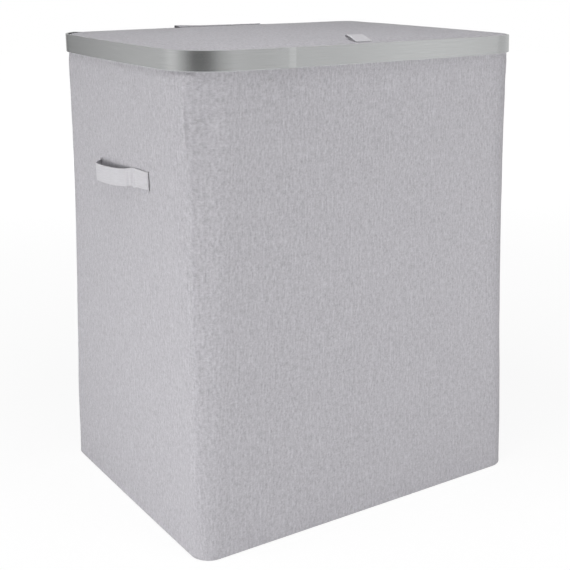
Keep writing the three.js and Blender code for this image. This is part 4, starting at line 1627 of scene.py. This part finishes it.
class HAMPER_OT_handles(bpy.types.Operator):
    """Builds the two side handles, whose ribbons pass through the sleeve"""

    bl_idname = "hamper.handles"
    bl_label = "Side handles"

    def execute(self, context):
        for side, run in (("left", LEFT), ("right", RIGHT)):
            piece, near, far = build_handle(context, side, run)
            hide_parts(f"side_handle_{side}")
            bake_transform(piece)
            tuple(near)
            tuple(far)
        return {"FINISHED"}


# Bins

# Bins' plan, and the bags with their holds at the floor and the mouth
BIN_CORNER, BIN_BOW = 42 * MM, 2 * MM
BAG_CLOTH, BAG_EDGE, BAG_EDGE_STEPS = 1.2 * MM, 4 * MM, 3
BAG_STEP, BAG_CORNER_STEP, BAG_ROWS = 12 * MM, 7 * MM, 46
BAG_FLOOR_SHARES = (0.0, 0.5, 0.97)
BAG_TUCK, BAG_ROOM = 1 * MM, 0.2 * MM
BAG_FOOT_HOLD, BAG_MOUTH_HOLD = 60 * MM, 50 * MM

# Sags and ripples of a bag's wall: depth, and waves in a metre across and up
BAG_SAG, SAG_ACROSS, SAG_UP = 1.6 * MM, 11, 7
BAG_RIPPLE, RIPPLE_ACROSS, RIPPLE_UP = 0.4 * MM, 34, 9

# Rolled hem with its puckers and seams, and the grips with theirs
HOOP_SIDES = 14
HOOP_STEP, HOOP_CORNER_STEP = 6 * MM, 5 * MM
HOOP_PUCKER, HOOP_PUCKERS = 0.05, 420
SEAM_INSETS, SEAM_DROP = (0.1 * MM, 1.5 * MM), 2.5 * MM
GRIP_END_STEPS, GRIP_CORNER_STEPS, GRIP_MIDDLE_STEPS = 5, 8, 12
GRIP_SEAM_DROPS, GRIP_SEAM_SHARE = (3 * MM, 11 * MM), 0.7


def bin_plan(side):
    """A bin's outside, as if it stood in the middle of the hamper"""
    size = high(f"bin_bag_{side}") - low(f"bin_bag_{side}")
    return Plan(size.x - 2 * BIN_BOW, size.y - 2 * BIN_BOW, BIN_CORNER, BIN_BOW, BIN_BOW)


def bin_middle(side):
    node = f"bin_bag_{side}"
    return Vector(((high(node).x + low(node).x) / 2, 0, 0))


def build_bag(context, side):
    plan, middle = bin_plan(side), bin_middle(side)
    foot = plan.inset(BAG_EDGE)
    base, mouth = low(f"bin_bag_{side}").z, low(f"bin_hoop_{side}").z + BAG_TUCK
    levels = bowl_levels(BAG_FLOOR_SHARES, BAG_EDGE_STEPS,
                         even(base + BAG_EDGE, mouth, BAG_ROWS))

    def place(turn, level):
        kind, z = level
        if kind != "wall":
            return foot_point(*foot.point(turn), BAG_EDGE, base, level) + middle
        ring, normal = plan.point(turn)
        ring.z = z
        slack = smooth(base, base + BAG_FOOT_HOLD, z)
        slack *= smooth(mouth, mouth - BAG_MOUTH_HOLD, z)
        sag = wave_at(ring.x * SAG_ACROSS, ring.y * SAG_ACROSS, z * SAG_UP + middle.x)
        ripple = wave_at(ring.x * RIPPLE_ACROSS, ring.y * RIPPLE_ACROSS, z * RIPPLE_UP)
        push = BAG_RIPPLE * ripple - BAG_SAG * (1 + sag) / 2
        return ring + normal * (push * slack - BAG_ROOM) + middle

    bm = bmesh.new()
    lay_grid(bm, plan.turns(BAG_STEP, BAG_CORNER_STEP), levels, place,
             bowl_measure(plan, place))
    piece = finish_bmesh(bm, f"bag_{side}", finish_of(context, lining_cloth))
    face_outwards(piece, middle + Vector((0, 0, mouth / 2)))
    thicken(piece, BAG_CLOTH)
    return piece


def build_hem(context, side):
    """The hem rolled over the hoop at a bin's mouth, with a seam inside and outside"""
    node = f"bin_hoop_{side}"
    plan, middle = bin_plan(side), bin_middle(side)
    bottom, top = low(node).z, high(node).z
    overhang = high(node).y - high(f"bin_bag_{side}").y
    radius = (top - bottom) / 2
    turns = plan.turns(HOOP_STEP, HOOP_CORNER_STEP)
    line = plan.inset(radius - overhang)

    def place(turn, step):
        angle = math.tau * step / HOOP_SIDES
        ring, normal = line.point(turn)
        wave = 1 + math.sin(plan.walked(turn % RUNS) * HOOP_PUCKERS)
        lower = step % HOOP_SIDES > HOOP_SIDES / 2
        pucker = 1 - HOOP_PUCKER * wave / 2 if lower else 1
        spot = ring + normal * radius * pucker * math.cos(angle)
        spot.z = (bottom + top) / 2 + radius * math.sin(angle)
        return spot + middle

    bm = bmesh.new()
    lay_grid(bm, turns, range(HOOP_SIDES + 1), place,
             lambda turn, step: (plan.walked(turn), step * math.tau * radius / HOOP_SIDES))
    down = middle + Vector((0, 0, bottom - SEAM_DROP))
    for inset in SEAM_INSETS:
        seam = [plan.inset(inset).point(turn)[0] + down for turn in turns]
        add_stitches(bm, seam, sizes(context, "ribbons").stitch)
    return finish_bmesh(bm, f"hem_{side}", finish_of(context, lining_cloth), fill=True)


def build_grip(context, node, name):
    """A webbing loop, sewn down at both ends"""
    ribbons = sizes(context, "ribbons")
    start, end = low(node), high(node)
    top, y = end.z, (start.y + end.y) / 2
    inset = ribbons.webbing / 2
    corner = (end.z - start.z) / 2 - inset
    x0, x1, z0 = start.x + inset, end.x - inset, start.z + inset
    quarter = even(0, math.pi / 2, GRIP_CORNER_STEPS)[1:]
    line = [(x0, z) for z in even(top, z0 + corner, GRIP_END_STEPS)]
    line += [(x0 + corner * (1 - math.cos(t)), z0 + corner * (1 - math.sin(t)))
             for t in quarter]
    line += [(x, z0) for x in even(x0 + corner, x1 - corner, GRIP_MIDDLE_STEPS)[1:]]
    line += [(x1 - corner * (1 - math.sin(t)), z0 + corner * (1 - math.cos(t)))
             for t in quarter]
    line += [(x1, z) for z in even(z0 + corner, top, GRIP_END_STEPS)[1:]]
    path = [Vector((x, y, z)) for x, z in line]

    def across(i):
        along = path[min(i + 1, len(path) - 1)] - path[max(i - 1, 0)]
        return along.cross(Vector((0, 1, 0))).normalized()

    bm = bmesh.new()
    add_strip(bm, path, across, ribbons.webbing, end.y - start.y, hem=WEBBING_HEM)
    half_seam = inset * GRIP_SEAM_SHARE
    for face in (start.y, end.y):
        for x in (x0, x1):
            for drop in GRIP_SEAM_DROPS:
                seam = [Vector((x + side * half_seam, face, top - drop))
                        for side in (-1, 1)]
                add_stitches(bm, seam, ribbons.stitch)
    return finish_bmesh(bm, name, finish_of(context, ribbon_cloth), fill=True)


class HAMPER_OT_bins(bpy.types.Operator):
    """Builds the two bins: bags, rolled hems and webbing grips"""

    bl_idname = "hamper.bins"
    bl_label = "Bins"

    def execute(self, context):
        for side in ("left", "right"):
            body = f"bin_{side}"
            bag = build_bag(context, side)
            dress(bag, body, "lining_fabric", f"bin_bag_{side}")
            around = sum(bin_plan(side).lengths)
            hem = build_hem(context, side)
            dress(hem, body, "lining_fabric", f"bin_hoop_{side}")
            for end in ("front", "rear"):
                node = f"bin_grip_{side}_{end}"
                grip = build_grip(context, node, f"grip_{side}_{end}")
                dress(grip, f"grip_{side}_{end}", "ribbon", node)
        return {"FINISHED"}


# Stage

# Width of the camera's sensor in mm, and the camera's own right and back
SENSOR = 36.0
CAMERA_RIGHT = (0.83628, -0.54828, 0.0)
CAMERA_BACK = (-0.52359, -0.79862, 0.29671)

# Height that the lamps look at, the floor, and the ring of cards
LAMP_AIM = 0.35
FLOOR_RADIUS, FLOOR_SIDES = 7.0, 64
FLOOR_TONE, FLOOR_SHADOW_TONE = 0.8, 0.12
GLOW_START, GLOW_END = 0.5, 2.6
SURROUND_TALL, SURROUND_LIFT, SURROUND_SIDES = 3.0, 0.005, 180


def build_camera(context):
    studio = sizes(context, "studio")
    data = bpy.data.cameras.new("camera")
    data.lens = studio.lens
    data.sensor_width = SENSOR
    right, back = Vector(CAMERA_RIGHT), Vector(CAMERA_BACK).normalized()
    turn = Matrix((right, back.cross(right), back)).transposed().to_4x4()
    camera = add_object("camera", data)
    camera.matrix_world = Matrix.Translation(studio.place) @ turn
    context.scene.camera = camera


def add_lamp(name, azimuth, elevation, distance, size, watts):
    """A square lamp that looks at the hamper's middle, and that nothing mirrors"""
    data = bpy.data.lights.new(name, "AREA")
    data.shape = "SQUARE"
    data.size = size
    data.energy = watts
    a, e = math.radians(azimuth), math.radians(elevation)
    away = Vector((math.cos(e) * math.cos(a), math.cos(e) * math.sin(a), math.sin(e)))
    turn = away.to_track_quat("Z", "Y").to_matrix().to_4x4()
    lamp = add_object(name, data)
    lamp.matrix_world = Matrix.Translation(away * distance + Vector((0, 0, LAMP_AIM))) @ turn
    lamp.visible_camera = False
    lamp.visible_glossy = False


def show_seen(tree, out, lit, seen):
    """Gives camera, glossy and transmission rays one shader and the rest another"""
    path = tree.nodes.new("ShaderNodeLightPath")
    total = path.outputs["Is Camera Ray"]
    for name in ("Is Glossy Ray", "Is Transmission Ray"):
        most = tree.nodes.new("ShaderNodeMath")
        most.operation = "MAXIMUM"
        tree.links.new(total, most.inputs[0])
        tree.links.new(path.outputs[name], most.inputs[1])
        total = most.outputs[0]
    mix = tree.nodes.new("ShaderNodeMixShader")
    for source, target in zip((total, lit.outputs[0], seen.outputs[0]), mix.inputs):
        tree.links.new(source, target)
    tree.links.new(mix.outputs[0], out.inputs["Surface"])


def build_world(context):
    world = bpy.data.worlds.new("studio")
    context.scene.world = world
    tree = cleared_tree(world)
    shaders = []
    for strength in (sizes(context, "studio").ambient, 1.0):
        shader = tree.nodes.new("ShaderNodeBackground")
        shader.inputs["Color"].default_value = (1, 1, 1, 1)
        shader.inputs["Strength"].default_value = strength
        shaders.append(shader)
    show_seen(tree, tree.nodes.new("ShaderNodeOutputWorld"), *shaders)


def floor_material(context):
    """A floor that is plain to the lamps' light, and that shows nearly white with a soft
    shadow, and quite white further away"""
    material = bpy.data.materials.new("pale_floor")
    tree = cleared_tree(material)
    plain, shadow = [tree.nodes.new("ShaderNodeBsdfDiffuse") for _ in range(2)]
    for shader, tone in ((plain, FLOOR_TONE), (shadow, FLOOR_SHADOW_TONE)):
        shader.inputs["Color"].default_value = (tone, tone, tone, 1)
    place = tree.nodes.new("ShaderNodeTexCoord")
    away = tree.nodes.new("ShaderNodeVectorMath")
    away.operation = "LENGTH"
    level = tree.nodes.new("ShaderNodeMapRange")
    for name, number in (("From Min", GLOW_START), ("From Max", GLOW_END), ("To Max", 1.0),
                         ("To Min", sizes(context, "studio").floor_glow)):
        level.inputs[name].default_value = number
    glow = tree.nodes.new("ShaderNodeEmission")
    both = tree.nodes.new("ShaderNodeAddShader")
    for source, target in (
            (place.outputs["Object"], away.inputs[0]),
            (away.outputs["Value"], level.inputs["Value"]),
            (level.outputs[0], glow.inputs["Strength"]),
            (shadow.outputs[0], both.inputs[0]),
            (glow.outputs[0], both.inputs[1])):
        tree.links.new(source, target)
    show_seen(tree, tree.nodes.new("ShaderNodeOutputMaterial"), plain, both)
    return material


def build_floor(context):
    bm = bmesh.new()
    bmesh.ops.create_circle(bm, cap_ends=True, segments=FLOOR_SIDES, radius=FLOOR_RADIUS)
    floor = add_object("floor", mesh_of(bm, "floor"))
    floor.data.materials.append(floor_material(context))


LAMPS = (
    # name, azimuth and elevation in degrees, distance, size, watts
    ("low_left", 165, -5, 1.3, 0.7, 5.0),
    ("low_corner", 206, -12, 1.3, 0.4, 7.2),
    ("low_front", 280, -8, 1.3, 0.7, 4.8),
    ("front", 285, 12, 1.3, 0.7, 2.1),
    ("right_front", 310, 12, 1.3, 0.7, 2.0),
    ("high_left", 190, 65, 1.6, 0.8, 8.8),
    ("high_front", 260, 65, 1.6, 0.8, 3.7),
    ("over_front", 260, 75, 1.2, 0.8, 2.8),
    ("behind", 60, 5, 2.6, 1.6, 16.0),
)


SURROUND_TONES = (
    # azimuth in degrees, brightness
    (0, 0.65), (60, 0.65), (95, 0.45), (106, 0.22), (116, 0.36), (121, 0.50),
    (128, 0.62), (146, 0.66), (163, 0.78), (176, 0.70), (190, 0.50), (203, 0.30),
    (212, 0.20), (228, 0.20), (240, 0.27), (252, 0.42), (262, 0.52), (275, 0.58),
    (288, 0.68), (298, 0.66), (306, 0.78), (313, 0.84), (320, 0.72), (330, 0.60),
    (360, 0.65),
)


def surround_tone(azimuth):
    """Brightness of the card at one azimuth"""
    for (a, low_tone), (b, high_tone) in zip(SURROUND_TONES, SURROUND_TONES[1:]):
        if a <= azimuth <= b:
            return low_tone + (high_tone - low_tone) * (azimuth - a) / (b - a)
    raise ValueError(f"no card at {azimuth} degrees")


def build_surround(context):
    """A ring of pale and dark cards that only mirrored light meets"""
    radius = sizes(context, "studio").surround
    middle = Matrix.Translation((0, 0, SURROUND_TALL / 2 + SURROUND_LIFT))
    bm = bmesh.new()
    bmesh.ops.create_cone(bm, cap_ends=False, segments=SURROUND_SIDES, radius1=radius,
                          radius2=radius, depth=SURROUND_TALL, matrix=middle)
    mesh = mesh_of(bm, "surround")
    tone = mesh.attributes.new("tone", "FLOAT", "POINT")
    for vert in mesh.vertices:
        azimuth = math.degrees(math.atan2(vert.co.y, vert.co.x)) % 360
        tone.data[vert.index].value = surround_tone(azimuth)
    material = bpy.data.materials.new("surround_cards")
    tree = cleared_tree(material)
    out = tree.nodes.new("ShaderNodeOutputMaterial")
    glow = tree.nodes.new("ShaderNodeEmission")
    level = tree.nodes.new("ShaderNodeAttribute")
    level.attribute_name = "tone"
    tree.links.new(level.outputs["Fac"], glow.inputs["Strength"])
    tree.links.new(glow.outputs[0], out.inputs["Surface"])
    mesh.materials.append(material)
    surround = add_object("surround", mesh)
    surround.visible_camera = False
    surround.visible_diffuse = False
    surround.visible_transmission = False
    surround.visible_shadow = False


class HAMPER_OT_stage(bpy.types.Operator):
    """Builds the camera, the lamps, the floor, the world and the cards round them"""

    bl_idname = "hamper.stage"
    bl_label = "Stage"

    def execute(self, context):
        context.scene.view_settings.view_transform = "Standard"
        build_camera(context)
        build_world(context)
        build_floor(context)
        build_surround(context)
        for lamp in LAMPS:
            add_lamp(*lamp)
        return {"FINISHED"}


# Frame, posts and boards

CARRIED = {
    # material slot in the record, and its finish
    "frame_plastic": moulded_plastic,
    "post_steel": coated_steel,
    "hardboard": hardboard,
}


class HAMPER_OT_hardware(bpy.types.Operator):
    """Gives the frame, the posts, the sockets and the boards their finishes"""

    bl_idname = "hamper.hardware"
    bl_label = "Frame and boards"

    def execute(self, context):
        slots = {s["node"]: s["material_slot"] for s in frame["record"]["subparts"]}
        for name, node in frame["nodes"].items():
            make = CARRIED.get(slots[name])
            if make:
                node.data.materials.clear()
                node.data.materials.append(finish_of(context, make))
        return {"FINISHED"}


# Panel and registration

class HAMPER_PT_panel(bpy.types.Panel):
    """Lists the hamper's pieces and their sizes"""

    bl_idname = "HAMPER_PT_panel"
    bl_label = "Laundry hamper"
    bl_space_type = "VIEW_3D"
    bl_region_type = "UI"
    bl_category = "Hamper"

    def draw(self, context):
        column = self.layout.column(align=True)
        for operator in OPERATORS:
            column.operator(operator.bl_idname)
        for name in GROUPS:
            box = self.layout.box()
            group = getattr(context.scene, name)
            box.label(text=group.__doc__)
            for key in group.__annotations__:
                box.prop(group, key)


OPERATORS = (
    HAMPER_OT_stage,
    HAMPER_OT_hardware,
    HAMPER_OT_sleeve,
    HAMPER_OT_band,
    HAMPER_OT_lid,
    HAMPER_OT_flap,
    HAMPER_OT_tab,
    HAMPER_OT_handles,
    HAMPER_OT_bins,
)


def register():
    for group in GROUPS.values():
        bpy.utils.register_class(group)
    for name, group in GROUPS.items():
        setattr(bpy.types.Scene, name, bpy.props.PointerProperty(type=group))
    for operator in OPERATORS:
        bpy.utils.register_class(operator)
    bpy.utils.register_class(HAMPER_PT_panel)


def unregister():
    bpy.utils.unregister_class(HAMPER_PT_panel)
    for operator in reversed(OPERATORS):
        bpy.utils.unregister_class(operator)
    for name in GROUPS:
        delattr(bpy.types.Scene, name)
    for group in reversed(list(GROUPS.values())):
        bpy.utils.unregister_class(group)


def main():
    register()
    for operator in OPERATORS:
        category, name = operator.bl_idname.split(".")
        getattr(getattr(bpy.ops, category), name)()


if __name__ == "__main__":
    main()
